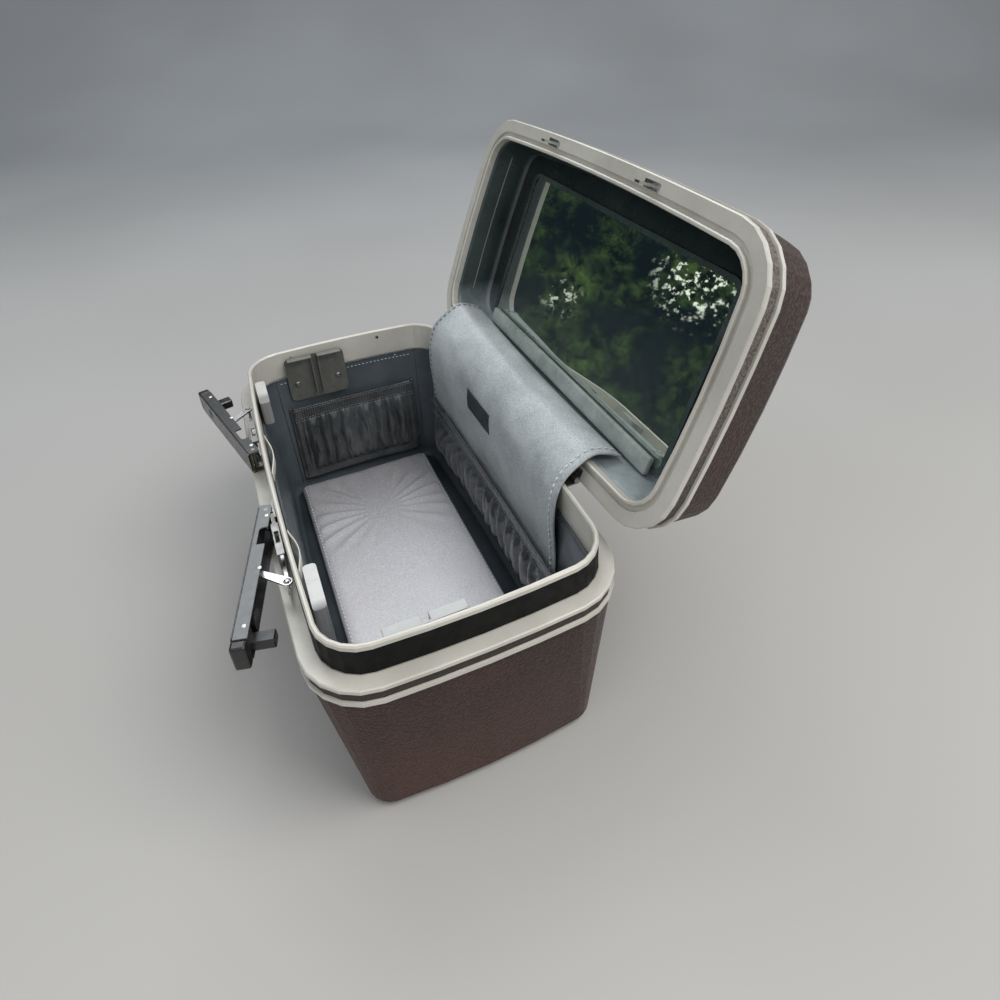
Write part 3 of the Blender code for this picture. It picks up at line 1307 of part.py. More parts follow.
def lock_cover():
    """Housing inside the collar round the lever's nose, with its free end sloped outwards to the foot."""
    low = HEM_HEIGHT + GAP
    back = -rim_reach_y(LOCK_LOW_END, COLLAR_INNER) + SOFT_GAP
    front = back + LOCK_DEEP
    rings = []
    for height, end in ((low, LOCK_LOW_END), (LOCK_TOP, LOCK_TOP_END)):
        middle = ((LOCK_START + end) / 2, (back + front) / 2)
        outline = rounded_rectangle(end - LOCK_START, LOCK_DEEP, LOCK_ROUND, 3, middle)
        rings.append([(x, y, height) for x, y in outline])
    pocket_low = (LEVER_PIVOT_X + NOSE_START - NOSE_SWING, back - OVERRUN, NOSE_LOW - NOSE_SWING)
    pocket_high = (LEVER_PIVOT_X + NOSE_END + NOSE_SWING, front - LOCK_WALL, NOSE_TOP + NOSE_SWING)
    return cut(loft(rings), box(pocket_low, pocket_high))


def hinge_pin():
    return hinge_rod(HINGE_PIN_RADIUS, HINGE_CENTRE_X, HINGE_LENGTH)


def build():
    clear_scene()
    made = Assembly()
    rim_metal = material("rim_metal", (0.56, 0.54, 0.50), 0.38, 0.7)
    rim_strip = material("rim_strip", (0.33, 0.31, 0.29), 0.7)
    black_band = material("black_band", (0.03, 0.03, 0.032), 0.45)
    shell_brown = material("shell_brown", (0.085, 0.045, 0.038), 0.5)
    lining_grey = material("lining_grey", (0.10, 0.11, 0.13), 0.55)
    satin_grey = material("satin_grey", (0.13, 0.13, 0.14), 0.4)
    pad_mauve = material("pad_mauve", (0.30, 0.28, 0.30), 0.4)
    flap_silver = material("flap_silver", (0.33, 0.35, 0.36), 0.5)
    lid_vinyl = material("lid_vinyl", (0.20, 0.22, 0.21), 0.35)
    silvered = material("silvered", (0.85, 0.87, 0.86), 0.03, 1.0)
    bezel_grey = material("bezel_grey", (0.30, 0.33, 0.32), 0.4)
    steel = material("steel", (0.58, 0.58, 0.57), 0.3, 1.0)
    chrome = material("chrome", (0.8, 0.8, 0.8), 0.1, 1.0)
    black_plastic = material("black_plastic", (0.02, 0.02, 0.022), 0.3)
    white_plastic = material("white_plastic", (0.72, 0.71, 0.66), 0.45)
    bracket_grey = material("bracket_grey", (0.22, 0.22, 0.20), 0.4, 0.5)
    maroon = material("maroon", (0.10, 0.035, 0.03), 0.4)

    made.add("base_shell", base_shell(), shell_brown)
    made.add("base_frame", base_frame(), rim_metal)
    made.add("base_trim_strip", trim_strip(LEDGE_HEIGHT, -1), rim_strip)
    made.add("base_collar", base_collar(), rim_metal)
    made.add("collar_band", collar_band(), black_band)
    made.add("base_lining", base_lining(), lining_grey)
    made.add("floor_pad", floor_pad(), pad_mauve)
    made.add("side_pocket", side_pocket(), satin_grey)
    made.add("back_pocket", back_pocket(), satin_grey)
    made.add("hinge_flap", hinge_flap(), flap_silver)

    lid = made.axis("lid_axis", (0, HINGE_Y, HINGE_Z), (-LID_OPEN_ANGLE, 0, 0))
    made.add("lid_shell", lid_shell(), shell_brown, lid)
    made.add("lid_frame", lid_frame(), rim_metal, lid)
    made.add("lid_trim_strip", trim_strip(LAND_HEIGHT, 1), rim_strip, lid)
    made.add("lid_lining", lid_lining(), lid_vinyl, lid)
    made.add("mirror_glass", mirror_glass(), silvered, lid)
    made.add("mirror_bezel", mirror_bezel(), bezel_grey, lid)
    made.add("mirror_strip", mirror_strip(), bezel_grey, lid)
    handle_axis = made.axis("handle_axis", (0, 0, HANDLE_HEIGHT), parent=lid)
    made.add("handle", handle(), maroon, handle_axis)

    # Pieces of both sides: drawn for the right, mirrored for the left
    fixed = (
        ("tray_bracket", tray_bracket(), bracket_grey, None),
        ("bracket_screw_front", bracket_screw(screw_places()[0]), steel, None),
        ("bracket_screw_back", bracket_screw(screw_places()[1]), steel, None),
        ("hinge_leaf", base_hinge_leaf(), steel, None),
        ("hinge_pin", hinge_pin(), steel, None),
        ("latch_mount", latch_mount(), steel, None),
        ("lever_pin", lever_pin(), steel, None),
        ("bolt_guide", bolt_guide(), steel, None),
        ("latch_bolt", latch_bolt(), chrome, None),
        ("lock_cover", lock_cover(), white_plastic, None),
        ("lid_hinge_leaf", lid_hinge_leaf(), steel, lid),
        ("lid_strike", lid_strike(), chrome, lid),
        ("handle_post", handle_post(), maroon, lid),
    )
    for name, mesh, finish, parent in fixed:
        made.add("left_" + name, mirrored(mesh), finish, parent)
        made.add("right_" + name, mesh, finish, parent)

    link_start, link_end = link_ends()
    link_run = link_end - link_start
    link_turn = math.atan2(link_run.y, link_run.x) + LEVER_OPEN_ANGLE
    for side, prefix in ((-1, "left_"), (1, "right_")):
        pivot = (side * LEVER_PIVOT_X, LEVER_PIVOT_Y, LEVER_MIDDLE)
        lever = made.axis(prefix + "lever_axis", pivot, (0, 0, -side * LEVER_OPEN_ANGLE))
        link_pivot = (side * (LEVER_PIVOT_X + LINK_PIN_X), LEVER_PIVOT_Y + LINK_PIN_Y, LEVER_MIDDLE)
        link_axis = made.axis(prefix + "link_axis", link_pivot, (0, 0, side * link_turn), lever)
        barrel_pivot = (side * (LEVER_PIVOT_X + BARREL_X), LEVER_PIVOT_Y, LEVER_MIDDLE)
        barrel_axis = made.axis(prefix + "barrel_axis", barrel_pivot, parent=lever)
        moving = (
            ("lever_channel", lever_channel(), steel, lever),
            ("lever_cover", lever_cover(), black_plastic, lever),
            ("lever_cap", lever_cap(), black_plastic, lever),
            ("lock_barrel", lock_barrel(), black_plastic, barrel_axis),
            ("latch_link", latch_link(), chrome, link_axis),
        )
        for name, mesh, finish, parent in moving:
            made.add(prefix + name, mirrored(mesh) if side < 0 else mesh, finish, parent)


build()
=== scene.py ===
"""Looks of the train case: finishes, linings, pockets, padding, stitching, stage and camera."""
import json
import math

import bmesh
import bpy
import numpy as np
from mathutils import Matrix, Vector, noise


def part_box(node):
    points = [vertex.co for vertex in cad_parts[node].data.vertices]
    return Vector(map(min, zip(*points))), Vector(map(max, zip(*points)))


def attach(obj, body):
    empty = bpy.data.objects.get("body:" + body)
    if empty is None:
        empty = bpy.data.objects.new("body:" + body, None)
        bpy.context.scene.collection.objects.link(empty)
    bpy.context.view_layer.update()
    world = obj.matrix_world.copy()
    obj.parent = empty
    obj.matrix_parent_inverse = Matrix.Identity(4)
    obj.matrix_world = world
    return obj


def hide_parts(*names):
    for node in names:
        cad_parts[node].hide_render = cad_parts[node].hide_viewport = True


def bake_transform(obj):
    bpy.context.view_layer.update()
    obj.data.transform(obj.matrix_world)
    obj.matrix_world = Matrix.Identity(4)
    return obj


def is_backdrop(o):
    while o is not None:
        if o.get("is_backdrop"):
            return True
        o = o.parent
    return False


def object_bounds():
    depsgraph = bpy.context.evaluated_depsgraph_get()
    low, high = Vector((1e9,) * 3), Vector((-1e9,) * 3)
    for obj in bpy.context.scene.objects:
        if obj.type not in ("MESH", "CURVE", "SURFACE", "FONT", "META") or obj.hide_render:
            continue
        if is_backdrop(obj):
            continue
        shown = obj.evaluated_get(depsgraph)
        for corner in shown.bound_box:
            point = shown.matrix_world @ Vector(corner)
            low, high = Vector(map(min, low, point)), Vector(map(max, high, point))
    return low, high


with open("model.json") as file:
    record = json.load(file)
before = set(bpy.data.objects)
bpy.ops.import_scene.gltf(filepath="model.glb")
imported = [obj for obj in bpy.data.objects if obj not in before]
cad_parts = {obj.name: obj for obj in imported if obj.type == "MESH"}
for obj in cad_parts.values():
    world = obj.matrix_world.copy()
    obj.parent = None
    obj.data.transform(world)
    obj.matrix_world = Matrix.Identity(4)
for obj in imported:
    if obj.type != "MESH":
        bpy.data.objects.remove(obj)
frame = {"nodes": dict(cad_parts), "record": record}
cad_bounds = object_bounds()
scene = bpy.context.scene

# Sizes that the soft pieces share with the solids they stand for
RIM_WIDTH, RIM_DEPTH, RIM_CORNER = 0.360, 0.1885, 0.035
BOW_LONG, BOW_SHORT = 0.0047, 0.0046
BOTTOM_WIDTH, BOTTOM_DEPTH, BOTTOM_CORNER = 0.3325, 0.1525, 0.013
SHELL_SETBACK, SHELL_TOP = 0.0015, 0.1194
COLLAR_INNER = 0.0128
LINING_IN, LINING_THICK, HEM_HEIGHT, LINING_TURN = 0.0033, 0.0015, 0.130, 0.012
LAND_HEIGHT = 0.1529
HINGE_Y, HINGE_Z, LID_OPEN_ANGLE = 0.0973, 0.1522, math.radians(111.56)
LID_INNER, PANEL_DEEP, PANEL_DRAFT, LID_LINING_LOW = 0.0158, 0.0352, 0.0035, 0.0048
FLAP_LEFT, FLAP_RIGHT, FLAP_LOW = -0.150, 0.105, 0.068
LEVER_OPEN_ANGLE = math.radians(14.4)
LEVER_PIVOT = (0.036, -0.0945)
LEVER_TOP = 0.1509

# Sizes of the soft pieces and of the small things on them
SHEET_THICK, LINING_FOOT, LINING_FLOOR, UNDER_COLLAR = 0.0011, 0.0043, 0.0062, 0.0003
SEAM_FOOT, SEAM_TOP, HEM_STITCH_HEIGHT = 0.0155, 0.1285, 0.1248
PAD_THICK, PAD_SWELL = 0.0086, 0.0012
PUCKER_CENTRE, PUCKER_REACH, PUCKER_SPREAD, PUCKER_HEIGHT = (-0.092, -0.002), 0.043, 0.020, 0.0056
PATCH_LEFT, PATCH_RIGHT, PATCH_FOOT, PATCH_TOP = -0.057, -0.011, 0.1215, 0.1420
LID_SEAM_RISE, LID_SEAM_FRONT, LID_SEAM_BACK = 0.0185, -0.066, 0.060
LEVER_RIVETS = ((0.0060, 0.0012), (0.052, 0.0030), (0.094, 0.0005))
COLLAR_HOLES = ((-0.0475, 0.1470), (0.0325, 0.1480))
LINING_RIVETS, LINING_RIVET_HEIGHT = (-0.0735, 0.0460), 0.1268
STRIP_FOOT, STRIP_TOP, STRIP_BOW = 0.1345, 0.1425, 0.0035
CASE_MIDDLE = Vector((0, 0, 0.1))

# Stitches: length, step along the row and half thickness
HEM_STITCH = (0.0024, 0.0036, 0.00026)
PAD_STITCH = (0.0020, 0.0042, 0.00055)
POCKET_STITCH = (0.0019, 0.0026, 0.00028)
STRIP_STITCH = (0.0022, 0.0030, 0.00028)
COVER_STITCH = (0.0038, 0.0054, 0.0006)


def rgb(red, green, blue):
    """Linear colour from the 0-255 values that it shows as."""
    linear = []
    for value in (red, green, blue):
        share = value / 255
        linear.append(share / 12.92 if share <= 0.04045 else ((share + 0.055) / 1.055) ** 2.4)
    return (*linear, 1.0)


class Finish:
    """A Principled material with short calls for the nodes that feed it."""

    def __init__(self, name, colour, roughness, **sockets):
        self.material = bpy.data.materials.new(name)
        self.material.use_nodes = True
        self.tree = self.material.node_tree
        self.shader = self.tree.nodes["Principled BSDF"]
        self.put(self.shader.inputs["Base Color"], colour)
        self.put(self.shader.inputs["Roughness"], roughness)
        for socket, value in sockets.items():
            self.put(self.shader.inputs[socket.replace("_", " ")], value)
        self.coords = self.tree.nodes.new("ShaderNodeTexCoord").outputs["Object"]
        self.relief = None

    def put(self, socket, value):
        if isinstance(value, bpy.types.NodeSocket):
            self.tree.links.new(value, socket)
        else:
            socket.default_value = value

    def node(self, kind, settings, inputs):
        made = self.tree.nodes.new("ShaderNode" + kind)
        for name, value in settings.items():
            setattr(made, name, value)
        for key, value in inputs.items():
            self.put(made.inputs[key], value)
        return made

    def stretched(self, x, y, z):
        """Coordinates scaled differently along the three axes."""
        return self.node("Mapping", {}, {"Vector": self.coords, "Scale": (x, y, z)}).outputs[0]

    def noise(self, scale, detail=3.0, rough=0.55, where=None, distortion=0.0):
        inputs = {
            "Vector": where or self.coords,
            "Scale": scale,
            "Detail": detail,
            "Roughness": rough,
            "Distortion": distortion,
        }
        return self.node("TexNoise", {}, inputs).outputs["Fac"]

    def cells(self, scale, feature):
        inputs = {"Vector": self.coords, "Scale": scale}
        return self.node("TexVoronoi", {"feature": feature}, inputs).outputs["Distance"]

    def wave(self, scale, direction, distortion=0.0):
        settings = {"wave_type": "BANDS", "bands_direction": direction, "wave_profile": "SIN"}
        inputs = {"Vector": self.coords, "Scale": scale, "Distortion": distortion}
        return self.node("TexWave", settings, inputs).outputs["Fac"]

    def ramp(self, value, *stops):
        """Colour ramp from (place, colour or grey) stops."""
        made = self.node("ValToRGB", {}, {"Fac": value})
        band = made.color_ramp
        while len(band.elements) < len(stops):
            band.elements.new(0.5)
        for element, (place, colour) in zip(band.elements, stops):
            element.position = place
            element.color = colour if isinstance(colour, tuple) else (colour, colour, colour, 1.0)
        return made.outputs["Color"]

    def mix(self, share, a, b):
        made = self.node("Mix", {"data_type": "RGBA"}, {0: share})
        self.put(made.inputs[6], a)
        self.put(made.inputs[7], b)
        return made.outputs[2]

    def along(self, axis, low, high):
        """0 below one place and 1 above the other, in metres along X, Y or Z, before any pose."""
        place = self.node("SeparateXYZ", {}, {0: self.coords}).outputs[axis]
        inputs = {"Value": place, "From Min": low, "From Max": high}
        return self.node("MapRange", {"clamp": True}, inputs).outputs[0]

    def near(self, centre, full, none):
        """1 up to one distance from a place and 0 past the other, in metres."""
        inputs = {0: self.coords, 1: centre}
        away = self.node("VectorMath", {"operation": "DISTANCE"}, inputs).outputs["Value"]
        inputs = {"Value": away, "From Min": none, "From Max": full}
        return self.node("MapRange", {"clamp": True}, inputs).outputs[0]

    def colour(self, value):
        self.put(self.shader.inputs["Base Color"], value)

    def rough(self, value):
        self.put(self.shader.inputs["Roughness"], value)

    def bump(self, height, distance, strength):
        inputs = {"Height": height, "Distance": distance, "Strength": strength}
        if self.relief:
            inputs["Normal"] = self.relief
        self.relief = self.node("Bump", {}, inputs).outputs[0]
        self.put(self.shader.inputs["Normal"], self.relief)


def cast_rim():
    """Warm grey lacquered metal of both rims and the collar."""
    made = Finish("rim_metal", rgb(199, 196, 186), 0.36, Metallic=0.12, Coat_Weight=0.15, Coat_Roughness=0.25)
    cloud = made.noise(18, 4, 0.6)
    speck = made.noise(900, 2, 0.5)
    base = made.mix(made.ramp(cloud, (0.35, 0.0), (0.7, 1.0)), rgb(188, 185, 175), rgb(208, 205, 195))
    base = made.mix(made.ramp(speck, (0.60, 0.0), (0.72, 0.3)), base, rgb(158, 153, 143))
    grime = made.ramp(made.noise(40, 8, 0.75), (0.60, 0.0), (0.80, 0.4))
    made.colour(made.mix(grime, base, rgb(168, 160, 147)))
    made.rough(made.ramp(made.noise(60, 3, 0.6), (0.3, 0.30), (0.75, 0.48)))
    made.bump(speck, 0.00006, 0.5)
    return made.material


def grained_strip():
    """Strip of grained vinyl in the rims' recess: dark brown at the base, brown-grey higher up."""
    made = Finish("rim_strip", rgb(70, 58, 52), 0.55)
    grain = made.cells(800, "SMOOTH_F1")
    raised = made.ramp(grain, (0.15, 0.0), (0.6, 1.0))
    low = made.mix(raised, rgb(25, 20, 17), rgb(62, 48, 41))
    high = made.mix(raised, rgb(62, 54, 50), rgb(112, 103, 97))
    made.colour(made.mix(made.along("Z", 0.14, 0.26), low, high))
    made.rough(made.ramp(grain, (0.1, 0.44), (0.6, 0.68)))
    made.bump(grain, 0.0004, 0.7)
    return made.material


def black_band():
    """Matt black band round the collar, slightly dusty."""
    made = Finish("black_band", rgb(12, 12, 13), 0.6, Specular_IOR_Level=0.16)
    dust = made.ramp(made.noise(34, 6, 0.7), (0.45, 0.0), (0.85, 1.0))
    made.colour(made.mix(dust, rgb(10, 10, 11), rgb(27, 26, 25)))
    made.rough(made.ramp(made.noise(140, 3), (0.35, 0.50), (0.7, 0.70)))
    made.bump(made.noise(700, 2), 0.0001, 0.4)
    return made.material


def grained_shell():
    """Brown moulded shell with a pebbled leather grain, painted highlights on the pebbles' tops and a painted
    grey reflection of the sky towards the lid's front.
    """
    made = Finish("shell_brown", rgb(52, 31, 23), 0.55, Specular_IOR_Level=0.26, Sheen_Weight=0.10)
    pebbles = made.cells(560, "SMOOTH_F1")
    fine = made.cells(1500, "F1")
    patch = made.noise(8, 4, 0.6)
    base = made.mix(made.ramp(patch, (0.32, 0.0), (0.70, 1.0)), rgb(39, 22, 14), rgb(72, 36, 20))
    # Lighter pebble tops: painted highlight.
    base = made.mix(made.ramp(pebbles, (0.05, 0.30), (0.40, 0.0)), base, rgb(88, 54, 40))
    base = made.mix(made.ramp(fine, (0.25, 0.0), (0.75, 0.45)), base, rgb(22, 14, 11))
    scuff = made.ramp(made.noise(70, 9, 0.8, distortion=1.4), (0.70, 0.0), (0.84, 0.30))
    base = made.mix(scuff, base, rgb(132, 104, 88))
    # Grey-brown tone high on the open lid: painted reflection of the bright sky on the shell.
    painted_sky_reflection = made.mix(made.ramp(pebbles, (0.05, 0.0), (0.5, 1.0)), rgb(82, 66, 58), rgb(50, 37, 31))
    made.colour(made.mix(made.along("Z", 0.19, 0.34), base, painted_sky_reflection))
    made.rough(made.ramp(pebbles, (0.1, 0.48), (0.6, 0.72)))
    made.bump(pebbles, 0.0007, 0.6)
    made.bump(fine, 0.00022, 0.35)
    return made.material


def vinyl(name, dark, light, gloss, grain=0.5):
    """Thin sheet vinyl: soft mottling and a fine grain."""
    made = Finish(name, light, gloss, Coat_Weight=0.1, Coat_Roughness=0.3)
    made.colour(made.mix(made.ramp(made.noise(26, 5, 0.62), (0.35, 0.0), (0.68, 1.0)), dark, light))
    made.rough(made.ramp(made.noise(70, 3), (0.3, gloss - 0.08), (0.75, gloss + 0.12)))
    made.bump(made.noise(420, 3, 0.6), 0.00025, grain)
    made.bump(made.noise(34, 3, 0.5), 0.0012, 0.35)
    return made.material


def lid_vinyl():
    """Dark green-grey vinyl of the lid, with painted light that makes it paler near the hinges."""
    made = Finish("lid_vinyl", rgb(46, 58, 58), 0.30, Coat_Weight=0.15, Coat_Roughness=0.2)
    cloud = made.ramp(made.noise(26, 5, 0.62), (0.35, 0.0), (0.68, 1.0))
    deep = made.mix(cloud, rgb(38, 49, 49), rgb(55, 68, 67))
    # Paler tone near the hinges: painted light on the open lid's walls that face up.
    pale = made.mix(cloud, rgb(126, 138, 141), rgb(176, 186, 189))
    made.colour(made.mix(made.along("Z", 0.186, 0.160), deep, pale))
    made.rough(made.ramp(made.noise(70, 3), (0.3, 0.22), (0.75, 0.42)))
    made.bump(made.noise(420, 3, 0.6), 0.00020, 0.3)
    return made.material


def satin(name, dark, light, gloss):
    """Woven satin: fine threads both ways, glossy along the floats."""
    made = Finish(name, light, gloss, Sheen_Weight=0.1, Coat_Weight=0.6, Coat_Roughness=0.14)
    warp = made.wave(420, "DIAGONAL", 1.5)
    weft = made.noise(850, 2, 0.5, where=made.stretched(1.0, 0.35, 1.6))
    tone = made.mix(made.ramp(made.noise(35, 4, 0.6), (0.35, 0.0), (0.7, 1.0)), dark, light)
    made.colour(made.mix(made.ramp(weft, (0.42, 0.0), (0.66, 0.3)), tone, dark))
    made.bump(warp, 0.00008, 0.3)
    made.bump(weft, 0.00010, 0.4)
    return made.material


def pad_satin():
    """Satin of the padded floor, with a sparkle of fine slubs and painted light that makes the near end
    paler.
    """
    made = Finish("pad_mauve", rgb(190, 190, 194), 0.34, Sheen_Weight=0.2, Sheen_Roughness=0.3)
    slub = made.noise(1300, 3, 0.7)
    cloud = made.noise(16, 4, 0.6)
    # Paler towards the near end: painted light.
    base = made.mix(made.along("X", -0.16, 0.10), rgb(146, 146, 151), rgb(230, 230, 234))
    base = made.mix(made.ramp(cloud, (0.36, 0.0), (0.70, 0.3)), base, rgb(178, 172, 175))
    base = made.mix(made.ramp(slub, (0.53, 0.0), (0.66, 0.6)), base, rgb(246, 246, 250))
    made.colour(made.mix(made.ramp(slub, (0.33, 0.5), (0.45, 0.0)), base, rgb(122, 121, 127)))
    made.rough(made.ramp(slub, (0.35, 0.46), (0.65, 0.26)))
    made.bump(slub, 0.0004, 0.6)
    made.bump(made.wave(600, "X", 1.0), 0.00006, 0.3)
    return made.material


def speckled_vinyl():
    """Silver-grey padded vinyl of the hinge cover."""
    made = Finish("flap_silver", rgb(176, 183, 184), 0.38, Coat_Weight=0.15, Coat_Roughness=0.3)
    speck = made.noise(1200, 4, 0.75)
    cloud = made.noise(24, 4, 0.6)
    base = made.mix(made.ramp(cloud, (0.34, 0.0), (0.7, 1.0)), rgb(160, 167, 168), rgb(198, 205, 206))
    base = made.mix(made.ramp(speck, (0.50, 0.0), (0.62, 0.55)), base, rgb(222, 227, 229))
    made.colour(made.mix(made.ramp(speck, (0.34, 0.7), (0.47, 0.0)), base, rgb(96, 103, 105)))
    made.rough(made.ramp(speck, (0.35, 0.44), (0.65, 0.27)))
    made.bump(speck, 0.0004, 0.6)
    return made.material


def silvered_glass():
    """Mirror with a greenish cast, dusty streaks and small spots."""
    made = Finish("silvered", rgb(196, 206, 200), 0.02, Metallic=1.0)
    haze = made.noise(14, 6, 0.7, distortion=0.8)
    spots = made.noise(420, 2, 0.5)
    made.rough(made.ramp(haze, (0.55, 0.012), (0.85, 0.07)))
    dust = made.mix(made.along("Z", 0.262, 0.172), (1, 1, 1, 1), made.ramp(haze, (0.30, 0.98), (0.75, 0.90)))
    made.put(made.shader.inputs["Metallic"], dust)
    made.colour(made.mix(made.ramp(spots, (0.72, 0.0), (0.75, 0.5)), rgb(196, 206, 200), rgb(150, 158, 152)))
    return made.material


def plated(name, colour, roughness, dirt=0.35):
    """Plated metal with dull smears."""
    made = Finish(name, colour, roughness, Metallic=1.0)
    smear = made.noise(160, 5, 0.65)
    made.colour(made.mix(made.ramp(smear, (0.45, 0.0), (0.75, dirt)), colour, rgb(96, 90, 80)))
    made.rough(made.ramp(smear, (0.35, roughness), (0.75, min(roughness + 0.22, 1.0))))
    made.bump(made.noise(1500, 2), 0.00003, 0.4)
    return made.material


def moulded(name, colour, worn, roughness, metallic=0.0, wear=0.4):
    """Moulded plastic or paint with rubbed patches and fine scratches."""
    made = Finish(name, colour, roughness, Coat_Weight=0.25, Coat_Roughness=0.18, Metallic=metallic)
    patch = made.ramp(made.noise(90, 5, 0.65), (0.45, 0.0), (0.85, wear))
    scratch = made.noise(300, 4, 0.6, where=made.stretched(0.15, 1.0, 1.0))
    base = made.mix(patch, colour, worn)
    made.colour(made.mix(made.ramp(scratch, (0.66, 0.0), (0.74, 0.5 * wear)), base, worn))
    made.rough(made.ramp(made.noise(220, 3), (0.35, roughness), (0.75, roughness + 0.2)))
    made.bump(made.noise(900, 2), 0.00005, 0.35)
    return made.material


def painted_light_tones(name, under, top, axis, low, high):
    """Semi-gloss paint that changes from one tone to the other between two places along an axis; the latch
    parts use it for painted light and shade.
    """
    made = Finish(name, top, 0.34, Coat_Weight=0.25, Coat_Roughness=0.2)
    tone = made.mix(made.along(axis, low, high), under, top)
    rubbed = made.ramp(made.noise(140, 5, 0.65), (0.50, 0.0), (0.85, 0.25))
    made.colour(made.mix(rubbed, tone, rgb(120, 120, 118)))
    made.rough(made.ramp(made.noise(220, 3), (0.35, 0.30), (0.75, 0.48)))
    made.bump(made.noise(900, 2), 0.00005, 0.35)
    return made.material


def thread(name, colour):
    """Twisted sewing thread."""
    made = Finish(name, colour, 0.6, Sheen_Weight=0.3)
    made.bump(made.wave(1400, "DIAGONAL"), 0.0001, 0.5)
    return made.material


FINISHES = {
    "rim_metal": cast_rim(),
    "rim_strip": grained_strip(),
    "black_band": black_band(),
    "shell_brown": grained_shell(),
    "lining_grey": vinyl("lining_grey", rgb(65, 73, 78), rgb(83, 91, 97), gloss=0.40),
    "satin_grey": satin("satin_grey", rgb(50, 53, 55), rgb(92, 96, 98), gloss=0.19),
    "pad_mauve": pad_satin(),
    "flap_silver": speckled_vinyl(),
    "lid_vinyl": lid_vinyl(),
    "silvered": silvered_glass(),
    "bezel_grey": vinyl("bezel_grey", rgb(126, 136, 131), rgb(168, 176, 170), gloss=0.28, grain=0.2),
    "steel": plated("steel", rgb(150, 150, 148), roughness=0.30),
    "chrome": plated("chrome", rgb(206, 206, 203), roughness=0.22, dirt=0.5),
    "black_plastic": moulded("black_plastic", rgb(17, 17, 18), rgb(52, 52, 52), roughness=0.24, wear=0.3),
    "white_plastic": moulded(
        "white_plastic", rgb(208, 207, 199), rgb(176, 172, 162), roughness=0.38, wear=0.35
    ),
    "bracket_grey": moulded(
        "bracket_grey", rgb(96, 97, 90), rgb(140, 141, 132), roughness=0.34, metallic=0.4
    ),
    "maroon": moulded("maroon", rgb(52, 26, 23), rgb(96, 60, 50), roughness=0.34),
}
BEZEL_PAINT = vinyl("bezel_dark", rgb(46, 57, 56), rgb(66, 78, 76), gloss=0.28, grain=0.2)
# Near tray bracket painted paler than its far twin: painted light.
LIT_BRACKET = moulded("bracket_pale", rgb(170, 173, 172), rgb(196, 198, 197), roughness=0.34)
DARK_THREAD = thread("dark_thread", rgb(46, 48, 52))
PALE_THREAD = thread("pale_thread", rgb(228, 231, 232))
GREY_THREAD = thread("grey_thread", rgb(124, 128, 132))
HEM_FINISH = moulded("hem_gloss", rgb(50, 54, 62), rgb(90, 94, 100), roughness=0.22, wear=0.2)
RIVET_FINISH = plated("rivet_plate", rgb(214, 213, 208), roughness=0.30, dirt=0.2)
# Pale cord colour on the lid's raised seams: painted highlight.
SEAM_HIGHLIGHT = thread("seam_highlight", rgb(132, 138, 134))
PATCH_FINISH = vinyl("patch_grey", rgb(58, 64, 66), rgb(74, 81, 83), gloss=0.34, grain=0.2)
# Near-black domes in the collar's rivet holes: painted shade.
HOLE_SHADE = moulded("hole_shade", rgb(14, 13, 12), rgb(30, 28, 26), roughness=0.6, wear=0.2)

UNDER_PLATE, ON_PLATE = 0.1496, 0.1503
# Far and near levers are mirror copies painted as shaded and lit copies: the near lever's pale top is painted
# light and its dark underside painted shade.
LEVER_FAR = painted_light_tones("lever_far", rgb(56, 59, 24), rgb(46, 49, 48), "Z", UNDER_PLATE, ON_PLATE)
LEVER_NEAR = painted_light_tones("lever_near", rgb(30, 31, 33), rgb(100, 103, 105), "Z", UNDER_PLATE, ON_PLATE)
# Lock covers: painted shade on the near cover's outer end face and on the inner end of the far cover's top.
COVER_FAR = painted_light_tones("cover_far", rgb(132, 133, 130), rgb(190, 190, 185), "X", -0.106, -0.114)
COVER_NEAR = painted_light_tones("cover_near", rgb(82, 84, 86), rgb(192, 193, 190), "X", 0.134, 0.126)
NODE_PAINTS = (
    ("left_lever_channel", LEVER_FAR),
    ("right_lever_channel", LEVER_NEAR),
    ("left_lock_cover", COVER_FAR),
    ("right_lock_cover", COVER_NEAR),
    ("right_tray_bracket", LIT_BRACKET),
    ("mirror_bezel", BEZEL_PAINT),
)


def paint_node(node, finish):
    mesh = frame["nodes"][node].data
    mesh.materials.clear()
    mesh.materials.append(finish)


for part in frame["record"]["subparts"]:
    paint_node(part["node"], FINISHES[part["material_slot"]])
for painted, paint in NODE_PAINTS:
    paint_node(painted, paint)


def new_object(name, mesh, finish):
    mesh.shade_smooth()
    mesh.materials.clear()
    mesh.materials.append(finish)
    obj = bpy.data.objects.new(name, mesh)
    scene.collection.objects.link(obj)
    return obj


def object_from(bm, name, finish):
    mesh = bpy.data.meshes.new(name)
    bmesh.ops.recalc_face_normals(bm, faces=bm.faces)
    bm.to_mesh(mesh)
    bm.free()
    return new_object(name, mesh, finish)


def settled(obj, *modifiers):
    """Runs the modifiers, given as (type, settings), on the object and keeps what they make."""
    for kind, settings in modifiers:
        modifier = obj.modifiers.new(kind.lower(), kind)
        for setting, value in settings.items():
            setattr(modifier, setting, value)
    bpy.context.view_layer.update()
    graph = bpy.context.evaluated_depsgraph_get()
    mesh = bpy.data.meshes.new_from_object(obj.evaluated_get(graph))
    obj.modifiers.clear()
    obj.data = mesh
    mesh.shade_smooth()
    return obj


def skin(bm, rows, closed=False):
    """Adds faces between rows of points to the mesh and gives the rows of its corners."""
    loops = [[bm.verts.new(point) for point in row] for row in rows]
    count = len(rows[0])
    for low, high in zip(loops, loops[1:]):
        for i in range(count if closed else count - 1):
            j = (i + 1) % count
            bm.faces.new((low[i], low[j], high[j], high[i]))
    return loops


